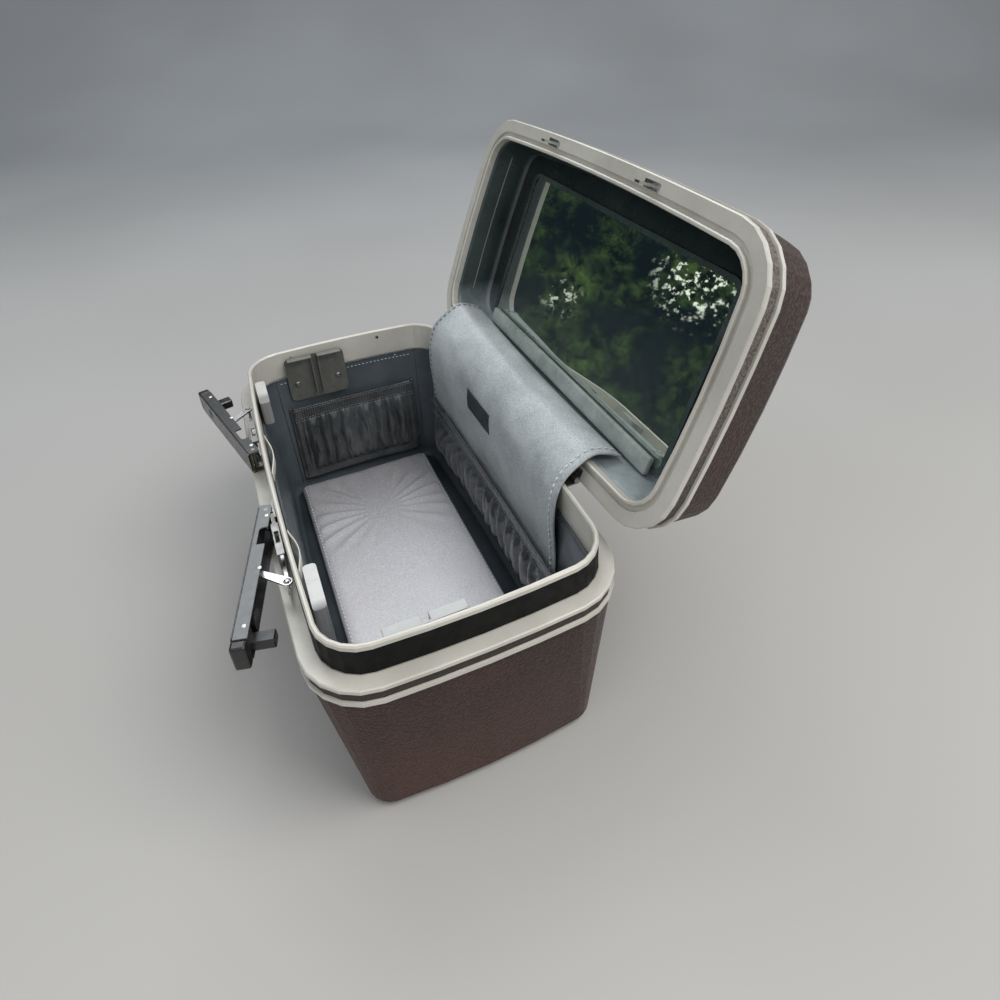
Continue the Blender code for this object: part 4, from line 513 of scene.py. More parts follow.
def woven(name, rows, finish, thick, closed=False):
    """Sheet of the given thickness through rows of points, with the rows as its middle surface."""
    bm = bmesh.new()
    skin(bm, rows, closed)
    obj = object_from(bm, name, finish)
    return settled(obj, ("SOLIDIFY", {"thickness": thick, "offset": 0.0, "use_even_offset": True}))


def flat_sheet(name, outline, finish, parent):
    """Flat sheet within an outline, as part of another sheet."""
    bm = bmesh.new()
    bm.faces.new([bm.verts.new(point) for point in outline])
    sheet = object_from(bm, name, finish)
    settled(sheet, ("SOLIDIFY", {"thickness": SHEET_THICK, "offset": 0.0}))
    sheet.parent = parent


def tube(name, points, radius, finish):
    """Round cord through the points, with closed ends."""
    curve = bpy.data.curves.new(name, "CURVE")
    curve.dimensions = "3D"
    curve.bevel_depth = radius
    curve.bevel_resolution = 2
    curve.use_fill_caps = True
    spline = curve.splines.new("POLY")
    spline.points.add(len(points) - 1)
    for point, place in zip(spline.points, points):
        point.co = (*place, 1)
    obj = bpy.data.objects.new(name, curve)
    scene.collection.objects.link(obj)
    bpy.context.view_layer.update()
    mesh = bpy.data.meshes.new_from_object(obj.evaluated_get(bpy.context.evaluated_depsgraph_get()))
    bpy.data.objects.remove(obj, do_unlink=True)
    return new_object(name, mesh, finish)


def along_path(points, step):
    """Places and directions every step along a path."""
    path = [Vector(p) for p in points]
    made = []
    wanted = step / 2
    walked = 0.0
    for start, end in zip(path, path[1:]):
        length = (end - start).length
        while length and wanted <= walked + length:
            made.append((start.lerp(end, (wanted - walked) / length), (end - start).normalized()))
            wanted += step
        walked += length
    return made


def stitches(name, points, finish, sizes):
    """Row of thread stitches along a path, as one piece."""
    length, step, radius = sizes
    bm = bmesh.new()
    for place, direction in along_path(points, step):
        turn = direction.to_track_quat("X", "Z").to_matrix().to_4x4()
        shape = Matrix.Translation(place) @ turn @ Matrix.Diagonal((length / 2, radius, radius, 1))
        bmesh.ops.create_uvsphere(bm, u_segments=6, v_segments=5, radius=1, matrix=shape)
    return object_from(bm, name, finish)


def stitch_row(name, points, finish, body, sizes):
    obj = stitches(name, points, finish, sizes)
    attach(obj, body)


def arc(centre, radius, first, last, steps):
    """Points on an arc between two angles in degrees."""
    turns = [math.radians(first + (last - first) * step / steps) for step in range(steps + 1)]
    return [(centre[0] + radius * math.cos(turn), centre[1] + radius * math.sin(turn)) for turn in turns]


def case_ring(height, inset, width=RIM_WIDTH, depth=RIM_DEPTH, corner=RIM_CORNER):
    """The case's bowed plan outline at a height, drawn in all round by the inset."""
    half_wide, half_deep = width / 2 - inset, depth / 2 - inset
    radius = max(corner - inset, 0.004)
    points = []
    for number, (sx, sy) in enumerate(((1, 1), (-1, 1), (-1, -1), (1, -1))):
        middle = (sx * (half_wide - radius), sy * (half_deep - radius))
        points += arc(middle, radius, 90 * number, 90 * (number + 1), 6)
        following = ((-1, 1), (-1, -1), (1, -1), (1, 1))[number]
        start = Vector(points[-1])
        turn = math.radians(90 * (number + 1))
        end = Vector((
            following[0] * (half_wide - radius) + radius * math.cos(turn),
            following[1] * (half_deep - radius) + radius * math.sin(turn),
        ))
        steps = 24 if number % 2 == 0 else 12
        points += [tuple(start.lerp(end, step / steps)) for step in range(1, steps)]
    ring = []
    for x, y in points:
        share_x, share_y = min(abs(x) / half_wide, 1), min(abs(y) / half_deep, 1)
        out_x = math.copysign(BOW_SHORT * (1 - share_y**2) * share_x**2, x)
        out_y = math.copysign(BOW_LONG * (1 - share_x**2) * share_y**2, y)
        ring.append((x + out_x, y + out_y, height))
    return ring


def body_ring(height, inset):
    """The tapering shell's outline at a height, drawn in all round by the inset."""
    share = height / SHELL_TOP
    width = BOTTOM_WIDTH + (RIM_WIDTH - 2 * SHELL_SETBACK - BOTTOM_WIDTH) * share
    depth = BOTTOM_DEPTH + (RIM_DEPTH - 2 * SHELL_SETBACK - BOTTOM_DEPTH) * share
    corner = BOTTOM_CORNER + (RIM_CORNER - SHELL_SETBACK - BOTTOM_CORNER) * share
    return case_ring(height, inset, width, depth, corner)


def between(low_ring, high_ring, share):
    return [tuple(Vector(a).lerp(Vector(b), share)) for a, b in zip(low_ring, high_ring)]


def rim_reach_y(x, inset):
    """How far back the rim's long side lies at x, drawn in by the inset."""
    return RIM_DEPTH / 2 - inset + BOW_LONG * (1 - (x / (RIM_WIDTH / 2 - inset)) ** 2)


def lining_half_sizes(height):
    """Half length and half depth of the base lining's inner face at a height."""
    share = (height - LINING_TURN) / (HEM_HEIGHT - LINING_TURN)
    rise = LINING_TURN / SHELL_TOP
    low_inset = LINING_IN + LINING_THICK
    high_inset = COLLAR_INNER + UNDER_COLLAR + LINING_THICK
    low_x = (BOTTOM_WIDTH + (RIM_WIDTH - 2 * SHELL_SETBACK - BOTTOM_WIDTH) * rise) / 2 - low_inset
    low_y = (BOTTOM_DEPTH + (RIM_DEPTH - 2 * SHELL_SETBACK - BOTTOM_DEPTH) * rise) / 2 - low_inset
    high_x, high_y = RIM_WIDTH / 2 - high_inset, RIM_DEPTH / 2 - high_inset
    return low_x + (high_x - low_x) * share, low_y + (high_y - low_y) * share


def lining_x(y, height):
    half_x, half_y = lining_half_sizes(height)
    return half_x + BOW_SHORT * (1 - (y / half_y) ** 2)


def lining_y(x, height):
    half_x, half_y = lining_half_sizes(height)
    return half_y + BOW_LONG * (1 - (x / half_x) ** 2)


def opened(x, y, z):
    """Where a point of the shut lid lies once the lid stands open."""
    dy, dz = y - HINGE_Y, z - HINGE_Z
    c, s = math.cos(LID_OPEN_ANGLE), math.sin(LID_OPEN_ANGLE)
    return (x, HINGE_Y + dy * c + dz * s, HINGE_Z - dy * s + dz * c)


def lid_wall_inset(rise):
    return LID_INNER + PANEL_DRAFT * rise / PANEL_DEEP


def wander(x, y, z, scale):
    """Smooth noise from -1 to 1 at a place."""
    return noise.noise(Vector((x * scale, y * scale, z * scale)))


def swollen(obj, voxel, pressure, cap):
    """Cloth blown up from inside, with no point moved further than the cap, kept as a plain mesh."""
    settled(obj, ("REMESH", {"mode": "VOXEL", "voxel_size": voxel}))
    frames = 20
    count = len(obj.data.vertices)
    start = np.empty(count * 3)
    obj.data.vertices.foreach_get("co", start)
    cloth = obj.modifiers.new("cloth", "CLOTH")
    cloth.settings.use_pressure = True
    cloth.settings.uniform_pressure_force = pressure
    cloth.settings.effector_weights.gravity = 0
    cloth.settings.quality = 6
    cloth.point_cache.frame_start = 1
    cloth.point_cache.frame_end = frames
    for step in range(1, frames + 1):
        scene.frame_set(step)
    graph = bpy.context.evaluated_depsgraph_get()
    blown = np.empty(count * 3)
    obj.evaluated_get(graph).data.vertices.foreach_get("co", blown)
    moved = (blown - start).reshape(-1, 3)
    moved -= moved.mean(axis=0)
    size = np.linalg.norm(moved, axis=1, keepdims=True)
    moved *= np.minimum(1.0, cap / np.maximum(size, 1e-9))
    obj.modifiers.clear()
    scene.frame_set(1)
    obj.data.vertices.foreach_set("co", (start.reshape(-1, 3) + moved).ravel())
    obj.data.update()
    return settled(obj, ("SUBSURF", {"levels": 1, "render_levels": 1}))


def base_lining():
    """Vinyl lining of the base, tucked under the collar, with a seam at each corner and a stitched hem."""
    low = body_ring(LINING_TURN, LINING_IN + LINING_THICK / 2)
    high = case_ring(HEM_HEIGHT, COLLAR_INNER + UNDER_COLLAR + LINING_THICK / 2)
    floor = body_ring(LINING_FLOOR, LINING_IN + LINING_THICK / 2 + 0.0012)
    foot = body_ring(LINING_FOOT, LINING_IN + LINING_THICK / 2 + 0.0030)
    rows = [foot, floor]
    steps = 34
    for step in range(steps + 1):
        share = step / steps
        ring = []
        for x, y, z in between(low, high, share):
            loose = 0.00035 * wander(x, y, z, 38) * math.sin(math.pi * share)
            away = math.hypot(x, y)
            ring.append((x * (1 - loose / away), y * (1 - loose / away), z))
        rows.append(ring)
    lining = woven("base_lining_vinyl", rows, FINISHES["lining_grey"], SHEET_THICK, closed=True)
    flat_sheet("base_lining_floor", foot, FINISHES["lining_grey"], lining)
    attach(lining, "base")
    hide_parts("base_lining")


def lining_wall_path(heights, wall, ends, off):
    """Points along one inner wall, given as its axis and sign, from end to end."""
    axis, sign = wall
    points = []
    for height, place in zip(heights, np.linspace(ends[0], ends[1], len(heights))):
        if axis == "x":
            points.append((sign * (lining_x(place, height) - off), place, height))
        else:
            points.append((place, sign * (lining_y(place, height) - off), height))
    return points


def lining_details():
    """Corner seams, the hem's glossy cord and the stitches under it."""
    for number, (sx, sy) in enumerate(((1, 1), (-1, 1), (-1, -1), (1, -1))):
        seam = []
        for height in np.linspace(SEAM_FOOT, SEAM_TOP, 16):
            half_y = lining_half_sizes(height)[1]
            place = sy * (half_y - 0.011 - 0.004 * (height / HEM_HEIGHT))
            seam.append((sx * (lining_x(place, height) - 0.0003), place, height))
        cord = tube(f"lining_seam_{number}", seam, 0.00042, DARK_THREAD)
        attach(cord, "base")
    edge = case_ring(HEM_HEIGHT - 0.0006, COLLAR_INNER + UNDER_COLLAR + LINING_THICK)
    hem = [(x * 0.9992, y * 0.9985, z) for x, y, z in edge]
    piping = tube("lining_hem_cord", hem + hem[:1], 0.0007, HEM_FINISH)
    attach(piping, "base")
    for sign, name in ((-1, "far"), (1, "near")):
        path = lining_wall_path([HEM_STITCH_HEIGHT] * 24, ("x", sign), (-0.062, 0.062), 0.0001)
        stitch_row(f"hem_stitches_{name}", path, PALE_THREAD, "base", HEM_STITCH)
    for sign, name in ((-1, "front"), (1, "back")):
        path = lining_wall_path([HEM_STITCH_HEIGHT] * 40, ("y", sign), (-0.148, 0.148), 0.0001)
        stitch_row(f"hem_stitches_{name}", path, GREY_THREAD, "base", HEM_STITCH)


def pad_pucker(x, y):
    """Height of the satin's puckers: a fan drawn in from both long edges at the far end."""
    dx, dy = x - PUCKER_CENTRE[0], y - PUCKER_CENTRE[1]
    reach = math.hypot(dx, dy)
    turn = math.atan2(dy, dx)
    ring = math.exp(-(((reach - PUCKER_REACH) / PUCKER_SPREAD) ** 2))
    side = abs(math.sin(turn)) ** 1.5
    wobble = 1.4 * wander(x, y, 0.0, 22)
    fan = 0.5 + 0.5 * math.cos(21 * turn + wobble + (0.9 if dy > 0 else 0.0))
    fan = fan**1.8 - 0.25
    vary = 0.6 + 0.55 * wander(x, y, 0.3, 40)
    far = 1 / (1 + math.exp((x + 0.052) / 0.012))
    draw = math.exp(-(((x + 0.145) / 0.012) ** 2)) * (0.5 + 0.5 * math.cos(310 * y + 2 * wander(x, y, 0, 30)))
    return PUCKER_HEIGHT * ring * side * fan * vary * far + 0.0012 * draw


def floor_pad():
    """Padded satin floor: blown up as cloth, then puckered at its far end."""
    low, high = (Vector(corner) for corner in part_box("floor_pad"))
    half_x, half_y = (high.x - low.x) / 2, (high.y - low.y) / 2
    middle_x, middle_y = (low.x + high.x) / 2, (low.y + high.y) / 2
    rings = []
    for inset, up in ((0.0016, 0.0), (0.0, 0.3), (0.0004, 0.7), (0.0022, 1.0)):
        corner = 0.0045
        wide, deep = half_x - inset, half_y - inset
        ring = []
        for number, (sx, sy) in enumerate(((1, 1), (-1, 1), (-1, -1), (1, -1))):
            middle = (sx * (wide - corner), sy * (deep - corner))
            ring += arc(middle, corner, 90 * number, 90 * (number + 1), 5)
        height = low.z + 0.0002 + PAD_THICK * up
        rings.append([(middle_x + x, middle_y + y, height) for x, y in ring])
    bm = bmesh.new()
    loops = skin(bm, rings, closed=True)
    bm.faces.new(loops[0][::-1])
    bm.faces.new(loops[-1])
    pad = object_from(bm, "floor_pad_satin", FINISHES["pad_mauve"])
    swollen(pad, voxel=0.0030, pressure=4.0, cap=PAD_SWELL)
    ceiling, ground = high.z - 0.0004, low.z + 0.0001
    for vertex in pad.data.vertices:
        x, y, z = vertex.co
        if z > low.z + 0.006:
            inward = min(1.0, (half_x - abs(x - middle_x)) / 0.006, (half_y - abs(y - middle_y)) / 0.006)
            z += pad_pucker(x, y) * max(inward, 0.0) + 0.00035 * wander(x, y, 0.0, 30)
        vertex.co = (
            min(max(x, low.x), high.x),
            min(max(y, low.y), high.y),
            min(max(z, ground), ceiling),
        )
    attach(pad, "base")
    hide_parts("floor_pad")
    for sign, name in ((-1, "front"), (1, "back")):
        y = middle_y + sign * (half_y - 0.0042)
        path = [(x, y, pad_top(pad, x, y) + 0.0003) for x in np.linspace(low.x + 0.006, high.x - 0.006, 60)]
        stitch_row(f"pad_stitches_{name}", path, PALE_THREAD, "base", PAD_STITCH)


def pad_top(pad, x, y):
    """Height of the pad's upper face at a place."""
    hit, place, _, _ = pad.ray_cast(Vector((x, y, 0.05)), Vector((0, 0, -1)))
    return place.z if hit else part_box("floor_pad")[1][2]


def gather(u, v, seed, spacing):
    """Fold height from 0 to 1 of gathered satin at a place across and up, in metres."""
    warp = 0.0035 * wander(u, v, seed, 26) + 0.0022 * wander(u, v, seed + 3, 70)
    turn = (u + warp) / spacing
    long_fold = abs(math.sin(math.pi * turn + 1.5 * wander(u, 0.0, seed + 5, 30)))
    split = abs(math.sin(math.pi * (turn * 1.9 + 0.35) + 3.0 * wander(u, v, seed + 8, 45)))
    return 0.82 * long_fold**1.2 + 0.18 * split


def elastic_ribs(u, pitch):
    """Height from 0 to 1 of ribs at a place along an elastic."""
    return 0.5 + 0.5 * math.cos(2 * math.pi * u / pitch)


def pocket(node, place, span, low, top, spacing, fullness, seed, rows_up, columns):
    """Gathered satin pocket: ribbed elastic at its mouth, puffed folds, plain end strips, a ribbed foot.

    place gives the point at (distance along the wall, depth off the wall, height).
    """
    mouth, foot, strip = 0.0125, 0.0095, 0.0075

    def sag(u):
        return 0.0022 * math.cos(math.pi * u / span)

    rows = []
    for step in range(rows_up + 1):
        height = low + (top - low) * step / rows_up
        row = []
        for station in range(columns + 1):
            u = span * (station / columns - 0.5)
            end = min(1.0, (span / 2 - abs(u)) / 0.004)
            inner = min(1.0, max(0.0, (span / 2 - strip - abs(u)) / 0.006))
            if height > top - mouth:
                up = (height - top + mouth) / mouth
                depth = 0.0028 + sag(u) * up + 0.0009 * elastic_ribs(u, 0.0021) * inner
            elif height < low + foot:
                zigzag = elastic_ribs(u + 0.0007 * math.sin(height * 2600), 0.0024)
                depth = 0.0020 + 0.0008 * zigzag * inner
            else:
                share = (height - low - foot) / (top - mouth - low - foot)
                belly = math.sin(math.pi * share) ** 0.55
                folds = gather(u, height, seed, spacing)
                flat = 0.0024 + 0.0008 * wander(u, height, seed, 60)
                full = 0.0020 + fullness * belly * (0.30 + 0.70 * folds)
                pinch = 0.0012 * elastic_ribs(u, spacing * 0.5) * (1 - belly)
                depth = flat * (1 - inner) + (full + pinch) * inner
            row.append(place(u, max(depth * end, 0.0008), height))
        rows.append(row)
    skirt = woven(node + "_satin", rows, FINISHES["satin_grey"], 0.0007)
    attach(skirt, "base")
    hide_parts(node)
    reach = span / 2 - 0.002
    for label, height, depth, finish in (
        ("mouth_top", top - 0.0016, 0.0046, GREY_THREAD),
        ("mouth_foot", top - mouth + 0.0012, 0.0042, GREY_THREAD),
        ("mouth_low", top - mouth - 0.0012, 0.0046, GREY_THREAD),
        ("foot_top", low + foot - 0.0008, 0.0036, DARK_THREAD),
    ):
        path = []
        for u in np.linspace(-reach, reach, 70):
            path.append(place(u, depth + (sag(u) if label == "mouth_top" else 0.0), height))
        stitch_row(f"{node}_{label}", path, finish, "base", POCKET_STITCH)
    for sign, end in ((-1, "start"), (1, "end")):
        u = sign * (span / 2 - strip * 0.85)
        path = [place(u, 0.0042, height) for height in np.linspace(low + 0.002, top - 0.002, 20)]
        stitch_row(f"{node}_strip_{end}", path, DARK_THREAD, "base", STRIP_STITCH)


def side_pocket():
    def place(y, depth, height):
        return (depth + 0.0004 - lining_x(y, height), y, height)

    pocket(
        "side_pocket", place, span=0.118, low=0.0178, top=0.098,
        spacing=0.0125, fullness=0.0092, seed=2.0, rows_up=66, columns=210,
    )


def back_pocket():
    def place(x, depth, height):
        behind = 0.0026 * min(1.0, max(0.0, (height - 0.045) / 0.02))
        return (x, lining_y(x, height) - depth - 0.0004 - behind, height)

    pocket(
        "back_pocket", place, span=0.296, low=0.0170, top=0.084,
        spacing=0.0150, fullness=0.0098, seed=7.0, rows_up=60, columns=460,
    )


def smooth_through(points, steps):
    """Catmull-Rom curve through points in space."""
    ends = [points[0], *points, points[-1]]
    made = []
    for number in range(len(points) - 1):
        a, b, c, d = (Vector(ends[number + k]) for k in range(4))
        for step in range(steps):
            t = step / steps
            square = (2 * a - 5 * b + 4 * c - d) * t**2
            cube = (3 * b - a - 3 * c + d) * t**3
            made.append((2 * b + (c - a) * t + square + cube) / 2)
    made.append(Vector(points[-1]))
    return made


def flap_row(x, steps=7):
    """The hinge cover's line at x: up the back wall, bulging over the collar and down into the lid."""
    collar = rim_reach_y(x, COLLAR_INNER)
    line = [(x, lining_y(x, z) - off, z) for z, off in ((FLAP_LOW, 0.0016), (0.092, 0.0018), (0.116, 0.0040))]
    line += [(x, collar - off, z) for off, z in ((0.0062, 0.1345), (0.0034, 0.1488), (-0.0042, 0.1612))]
    for height, off in ((0.0000, 0.0046), (0.0120, 0.0058), (0.0235, 0.0034)):
        wall = rim_reach_y(x, lid_wall_inset(height))
        line.append(opened(x, wall - off, LAND_HEIGHT + height))
    return smooth_through(line, steps)


def hinge_cover():
    """Padded vinyl cover over the hinges, with a turned and stitched right edge and a bare sewn patch."""
    columns = 96
    rows = []
    for column in range(columns + 1):
        x = FLAP_LEFT + (FLAP_RIGHT - FLAP_LEFT) * column / columns
        row = []
        for number, point in enumerate(flap_row(x)):
            loose = 0.0005 * wander(x, number * 0.006, 1.0, 24)
            row.append((point.x, point.y - loose, point.z + loose))
        rows.append(row)
    cover = woven("hinge_cover_vinyl", rows, FINISHES["flap_silver"], 0.0012)
    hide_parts("hinge_flap")
    edges = []
    for inset, name, finish in ((0.0055, "right", PALE_THREAD), (-0.0036, "left", GREY_THREAD)):
        x = FLAP_RIGHT - inset if inset > 0 else FLAP_LEFT - inset
        path = []
        line = flap_row(x, 10)
        for number, point in enumerate(line):
            before, after = line[max(number - 1, 0)], line[min(number + 1, len(line) - 1)]
            tangent = (after - before).normalized()
            out = Vector((0, -tangent.z, tangent.y))
            path.append(point + out * 0.0011)
        edges.append(stitches(f"hinge_cover_stitches_{name}", path, finish, COVER_STITCH))
    for x, name in ((FLAP_RIGHT, "right"), (FLAP_LEFT, "left")):
        edges.append(tube(f"hinge_cover_edge_{name}", flap_row(x), 0.0010, FINISHES["flap_silver"]))
    edges.append(flap_patch())
    for piece in (cover, *edges):
        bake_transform(piece)


def flap_patch():
    """Small bare patch sewn to the cover, with nothing on it."""
    rows = []
    for x in np.linspace(PATCH_LEFT, PATCH_RIGHT, 13):
        line = flap_row(x, 12)
        chosen = [n for n, point in enumerate(line) if PATCH_FOOT <= point.z <= PATCH_TOP and point.y < 0.094]
        row = []
        for number in chosen:
            tangent = (line[number + 1] - line[number - 1]).normalized()
            row.append(line[number] + Vector((0, -tangent.z, tangent.y)) * 0.00095)
        rows.append(row)
    count = min(len(row) for row in rows)
    return woven("hinge_cover_patch", [row[:count] for row in rows], PATCH_FINISH, 0.0005)


def lid_lining():
    """Vinyl lining of the lid: walls and panel in one tray, with a raised seam on the end walls whose cord is
    painted pale as a highlight.
    """
    rows = []
    low, high = LID_LINING_LOW, PANEL_DEEP + LINING_THICK / 2
    steps = 10
    for step in range(steps + 1):
        rise = low + (high - 0.002 - low) * step / steps
        rows.append(case_ring(LAND_HEIGHT + rise, lid_wall_inset(rise) - LINING_THICK / 2))
    inset = lid_wall_inset(high) - LINING_THICK / 2
    rows.append(case_ring(LAND_HEIGHT + high - 0.0007, inset + 0.0008))
    rows.append(case_ring(LAND_HEIGHT + high, inset + 0.0024))
    rows = [[opened(*point) for point in row] for row in rows]
    lining = woven("lid_lining_vinyl", rows, FINISHES["lid_vinyl"], SHEET_THICK, closed=True)
    flat_sheet("lid_lining_panel", rows[-1], FINISHES["lid_vinyl"], lining)
    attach(lining, "lid")
    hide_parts("lid_lining")
    half_x = RIM_WIDTH / 2 - lid_wall_inset(LID_SEAM_RISE)
    half_y = RIM_DEPTH / 2 - lid_wall_inset(LID_SEAM_RISE)
    for sign, name in ((-1, "far"), (1, "near")):
        seam = []
        for y in np.linspace(LID_SEAM_FRONT, LID_SEAM_BACK, 26):
            reach = half_x + BOW_SHORT * (1 - (y / half_y) ** 2)
            seam.append(opened(sign * (reach - 0.0003), y, LAND_HEIGHT + LID_SEAM_RISE))
        cord = tube(f"lid_seam_{name}", seam, 0.0005, SEAM_HIGHLIGHT)
        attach(cord, "lid")


def dome(bm, place, normal, radius, height):
    """Adds a low domed head, half sunk, to the mesh."""
    turn = Vector(normal).to_track_quat("Z", "Y").to_matrix().to_4x4()
    shape = Matrix.Translation(place) @ turn @ Matrix.Diagonal((radius, radius, height, 1))
    bmesh.ops.create_uvsphere(bm, u_segments=16, v_segments=8, radius=1, matrix=shape)


def lever_rivets():
    """Bright rivet heads on the top of each lever, at its pivot, its link and near its end."""
    for side, name in ((-1, "left"), (1, "right")):
        bm = bmesh.new()
        for along, across in LEVER_RIVETS:
            turn = -LEVER_OPEN_ANGLE
            x = LEVER_PIVOT[0] + along * math.cos(turn) - across * math.sin(turn)
            y = LEVER_PIVOT[1] + along * math.sin(turn) + across * math.cos(turn)
            dome(bm, (side * x, y, LEVER_TOP), (0, 0, 1), 0.0016, 0.0004)
        rivets = object_from(bm, f"{name}_lever_rivets", RIVET_FINISH)
        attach(rivets, f"{name}_lever")


def collar_fixings():
    """Small rivet holes through the collar's ends, each in a pressed dimple; each hole is a near-black dome
    of painted shade.
    """
    reach = RIM_WIDTH / 2 - COLLAR_INNER
    half_deep = RIM_DEPTH / 2 - COLLAR_INNER
    for sign, name in ((-1, "far"), (1, "near")):
        holes, rings = bmesh.new(), bmesh.new()
        for y, z in COLLAR_HOLES:
            x = reach + BOW_SHORT * (1 - (y / half_deep) ** 2)
            dome(holes, (sign * (x - 0.0001), y, z), (-sign, 0, 0), 0.0010, 0.00035)
            dome(rings, (sign * (x + 0.0001), y, z), (-sign, 0, 0), 0.0019, 0.0003)
        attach(object_from(holes, f"collar_holes_{name}", HOLE_SHADE), "base")
        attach(object_from(rings, f"collar_dimples_{name}", FINISHES["steel"]), "base")
        rivet = bmesh.new()
        for y in LINING_RIVETS:
            place = (sign * lining_x(y, LINING_RIVET_HEIGHT), y, LINING_RIVET_HEIGHT)
            dome(rivet, place, (-sign, 0, 0), 0.0009, 0.0005)
        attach(object_from(rivet, f"lining_rivets_{name}", RIVET_FINISH), "base")


def front_spring_strips():
    """Thin pale strips that bow in from the collar's front wall beside each latch."""
    for low, high, name in ((-0.064, -0.013, "far"), (0.052, 0.092, "near")):
        rows = []
        for z in np.linspace(STRIP_FOOT, STRIP_TOP, 5):
            row = []
            for share in np.linspace(0, 1, 22):
                x = low + (high - low) * share
                bulge = STRIP_BOW * math.sin(math.pi * share) ** 1.3
                row.append((x, -(rim_reach_y(x, COLLAR_INNER) - 0.0007 - bulge), z))
            rows.append(row)
        strip = woven(f"front_strip_{name}", rows, FINISHES["white_plastic"], 0.0007)
        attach(strip, "base")


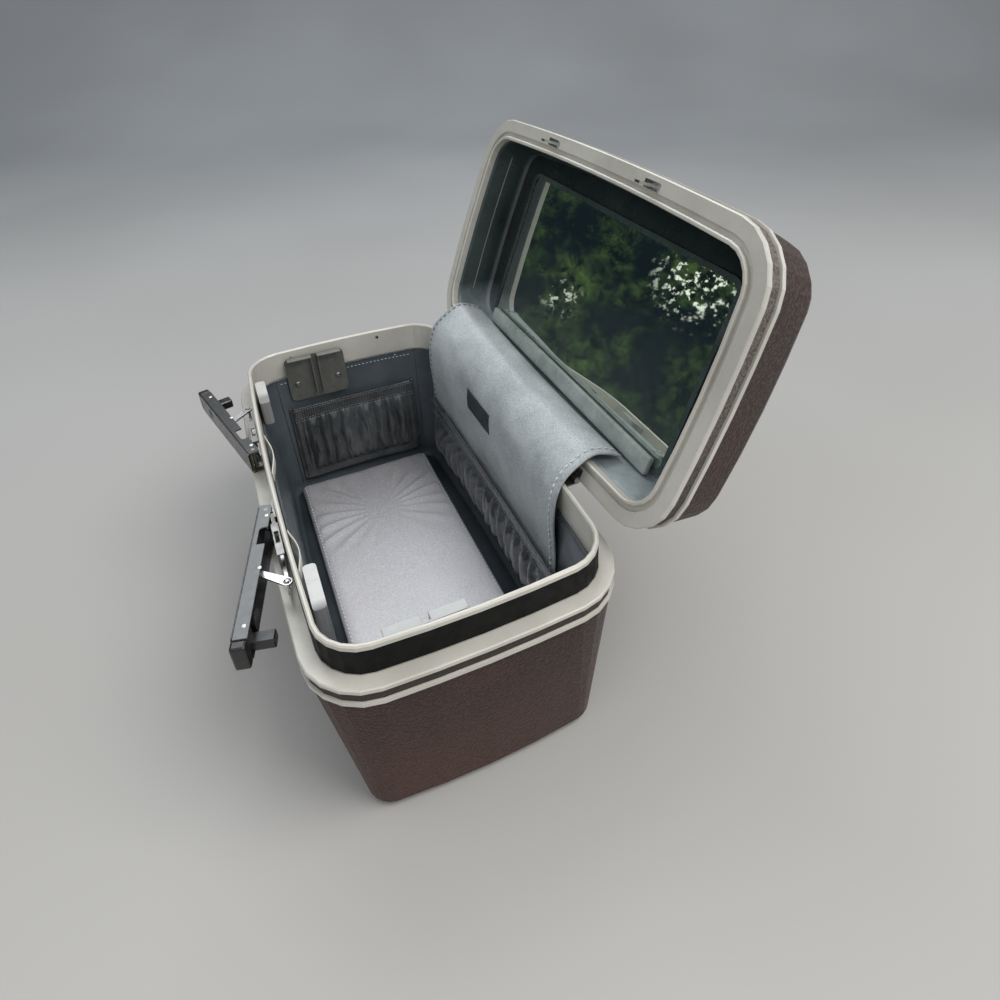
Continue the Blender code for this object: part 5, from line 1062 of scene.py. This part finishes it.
def floor_stage():
    """Pale sweep behind and under the case, with painted shade making it greyer towards its far side."""
    paint = Finish("floor_paint", rgb(206, 205, 201), 0.75)
    cloud = paint.ramp(paint.noise(1.3, 2, 0.5), (0.35, 0.0), (0.7, 1.0))
    near = paint.mix(cloud, rgb(173, 170, 165), rgb(180, 178, 174))
    far = paint.mix(cloud, rgb(133, 136, 138), rgb(145, 148, 150))
    # Greyer far side: painted shade.
    paint.colour(paint.mix(paint.along("Y", -0.45, 1.5), near, far))
    profile = [(-3.0, 0.0), (1.6, 0.0)]
    profile += [(1.6 + 1.4 * math.sin(a), 1.4 - 1.4 * math.cos(a)) for a in np.linspace(0.1, 1.5, 14)]
    profile += [(3.0, 5.0)]
    bm = bmesh.new()
    skin(bm, [[(x, y, z) for x in (-5.0, 5.0)] for y, z in profile])
    sweep = object_from(bm, "sweep", paint.material)
    sweep.rotation_euler = (0, 0, math.radians(67))
    sweep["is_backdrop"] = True


def reflection_card():
    """Glowing dark green card that only glossy surfaces see, painted with leaves and bright sky gaps as a
    reflection for the mirror.
    """
    card = Finish("card_paint", rgb(20, 26, 20), 1.0, Specular_IOR_Level=0.0)
    leaves = card.noise(24, 8, 0.72, distortion=0.4)
    deep = card.mix(card.ramp(leaves, (0.42, 0.0), (0.66, 1.0)), rgb(20, 29, 28), rgb(82, 104, 62))
    clumps = card.ramp(card.noise(6.5, 5, 0.7), (0.42, 0.0), (0.66, 1.0))
    tone = card.mix(clumps, rgb(22, 31, 36), deep)
    sky = card.ramp(card.noise(46, 3, 0.6), (0.56, 0.0), (0.63, 1.0))
    wide = card.near((-1.111, -0.992, 0.463), 0.0, 0.17)
    small = card.near((-1.307, -0.763, 0.187), 0.0, 0.08)
    gap = card.ramp(card.mix(small, wide, (0.5, 0.5, 0.5, 1)), (0.05, 0.0), (0.6, 1.0))
    sky_share = card.mix(gap, (0, 0, 0, 1), sky)
    shade = card.mix(sky_share, tone, rgb(250, 250, 236))
    card.put(card.shader.inputs["Base Color"], (0, 0, 0, 1))
    card.put(card.shader.inputs["Emission Color"], shade)
    card.put(card.shader.inputs["Emission Strength"], 1.5)
    radius, centre_y, middle_turn = 1.6, 0.16, 218
    rows = []
    for height in np.linspace(-0.5, 1.2, 6):
        row = []
        for turn in np.linspace(-34, 30, 16):
            angle = math.radians(middle_turn + turn)
            x, y = radius * math.cos(angle), centre_y + radius * math.sin(angle)
            row.append((x, y, height))
        rows.append(row)
    bm = bmesh.new()
    skin(bm, rows)
    obj = object_from(bm, "reflection_card", card.material)
    for ray in ("camera", "diffuse", "shadow", "transmission", "volume_scatter"):
        setattr(obj, "visible_" + ray, False)
    obj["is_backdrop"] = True


def area_light(name, place, size, power, colour):
    """Round area light aimed at the case."""
    lamp = bpy.data.lights.new(name, "AREA")
    lamp.shape = "DISK"
    lamp.size = size
    lamp.energy = power
    lamp.color = colour
    obj = bpy.data.objects.new(name, lamp)
    obj.location = place
    obj.rotation_euler = (CASE_MIDDLE - Vector(place)).to_track_quat("-Z", "Y").to_euler()
    scene.collection.objects.link(obj)


def light():
    """Soft sky, a warm key light from behind and a cool fill light from the far side."""
    world = bpy.data.worlds.new("studio")
    scene.world = world
    world.use_nodes = True
    backdrop = world.node_tree.nodes["Background"]
    backdrop.inputs["Color"].default_value = (0.93, 0.96, 1.0, 1)
    backdrop.inputs["Strength"].default_value = 0.72
    area_light("key", place=(0.9, 0.9, 1.9), size=1.4, power=30, colour=(1.0, 0.98, 0.95))
    area_light("fill", place=(-1.3, 0.15, 1.7), size=1.6, power=17, colour=(0.95, 0.97, 1.0))


def camera():
    """Camera fitted to the case's edges in the photo."""
    azimuth, elevation, roll = (math.radians(degrees) for degrees in (66.7228, 31.4401, -2.3533))
    level = math.cos(elevation)
    forward = Vector((-math.sin(azimuth) * level, math.cos(azimuth) * level, -math.sin(elevation)))
    right = Vector((math.cos(azimuth), math.sin(azimuth), 0))
    up = right.cross(forward)
    across = right * math.cos(roll) + up * math.sin(roll)
    upward = up * math.cos(roll) - right * math.sin(roll)
    lens = bpy.data.cameras.new("camera")
    lens.sensor_fit = "HORIZONTAL"
    lens.sensor_width = 36
    lens.lens = 25.382
    lens.shift_x = -0.02085
    lens.shift_y = -0.11698
    lens.clip_start = 0.01
    obj = bpy.data.objects.new("camera", lens)
    obj.matrix_world = Matrix((across, upward, -forward)).transposed().to_4x4()
    obj.location = (0.4223, -0.0782, 0.4512)
    scene.collection.objects.link(obj)
    scene.camera = obj


camera()
floor_stage()
reflection_card()
light()
base_lining()
lining_details()
floor_pad()
side_pocket()
back_pocket()
hinge_cover()
lid_lining()
lever_rivets()
collar_fixings()
front_spring_strips()
scene.view_settings.view_transform = "Standard"

boxes = {"cad": cad_bounds, "visual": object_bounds()}
{name: [list(corner) for corner in box] for name, box in boxes.items()}
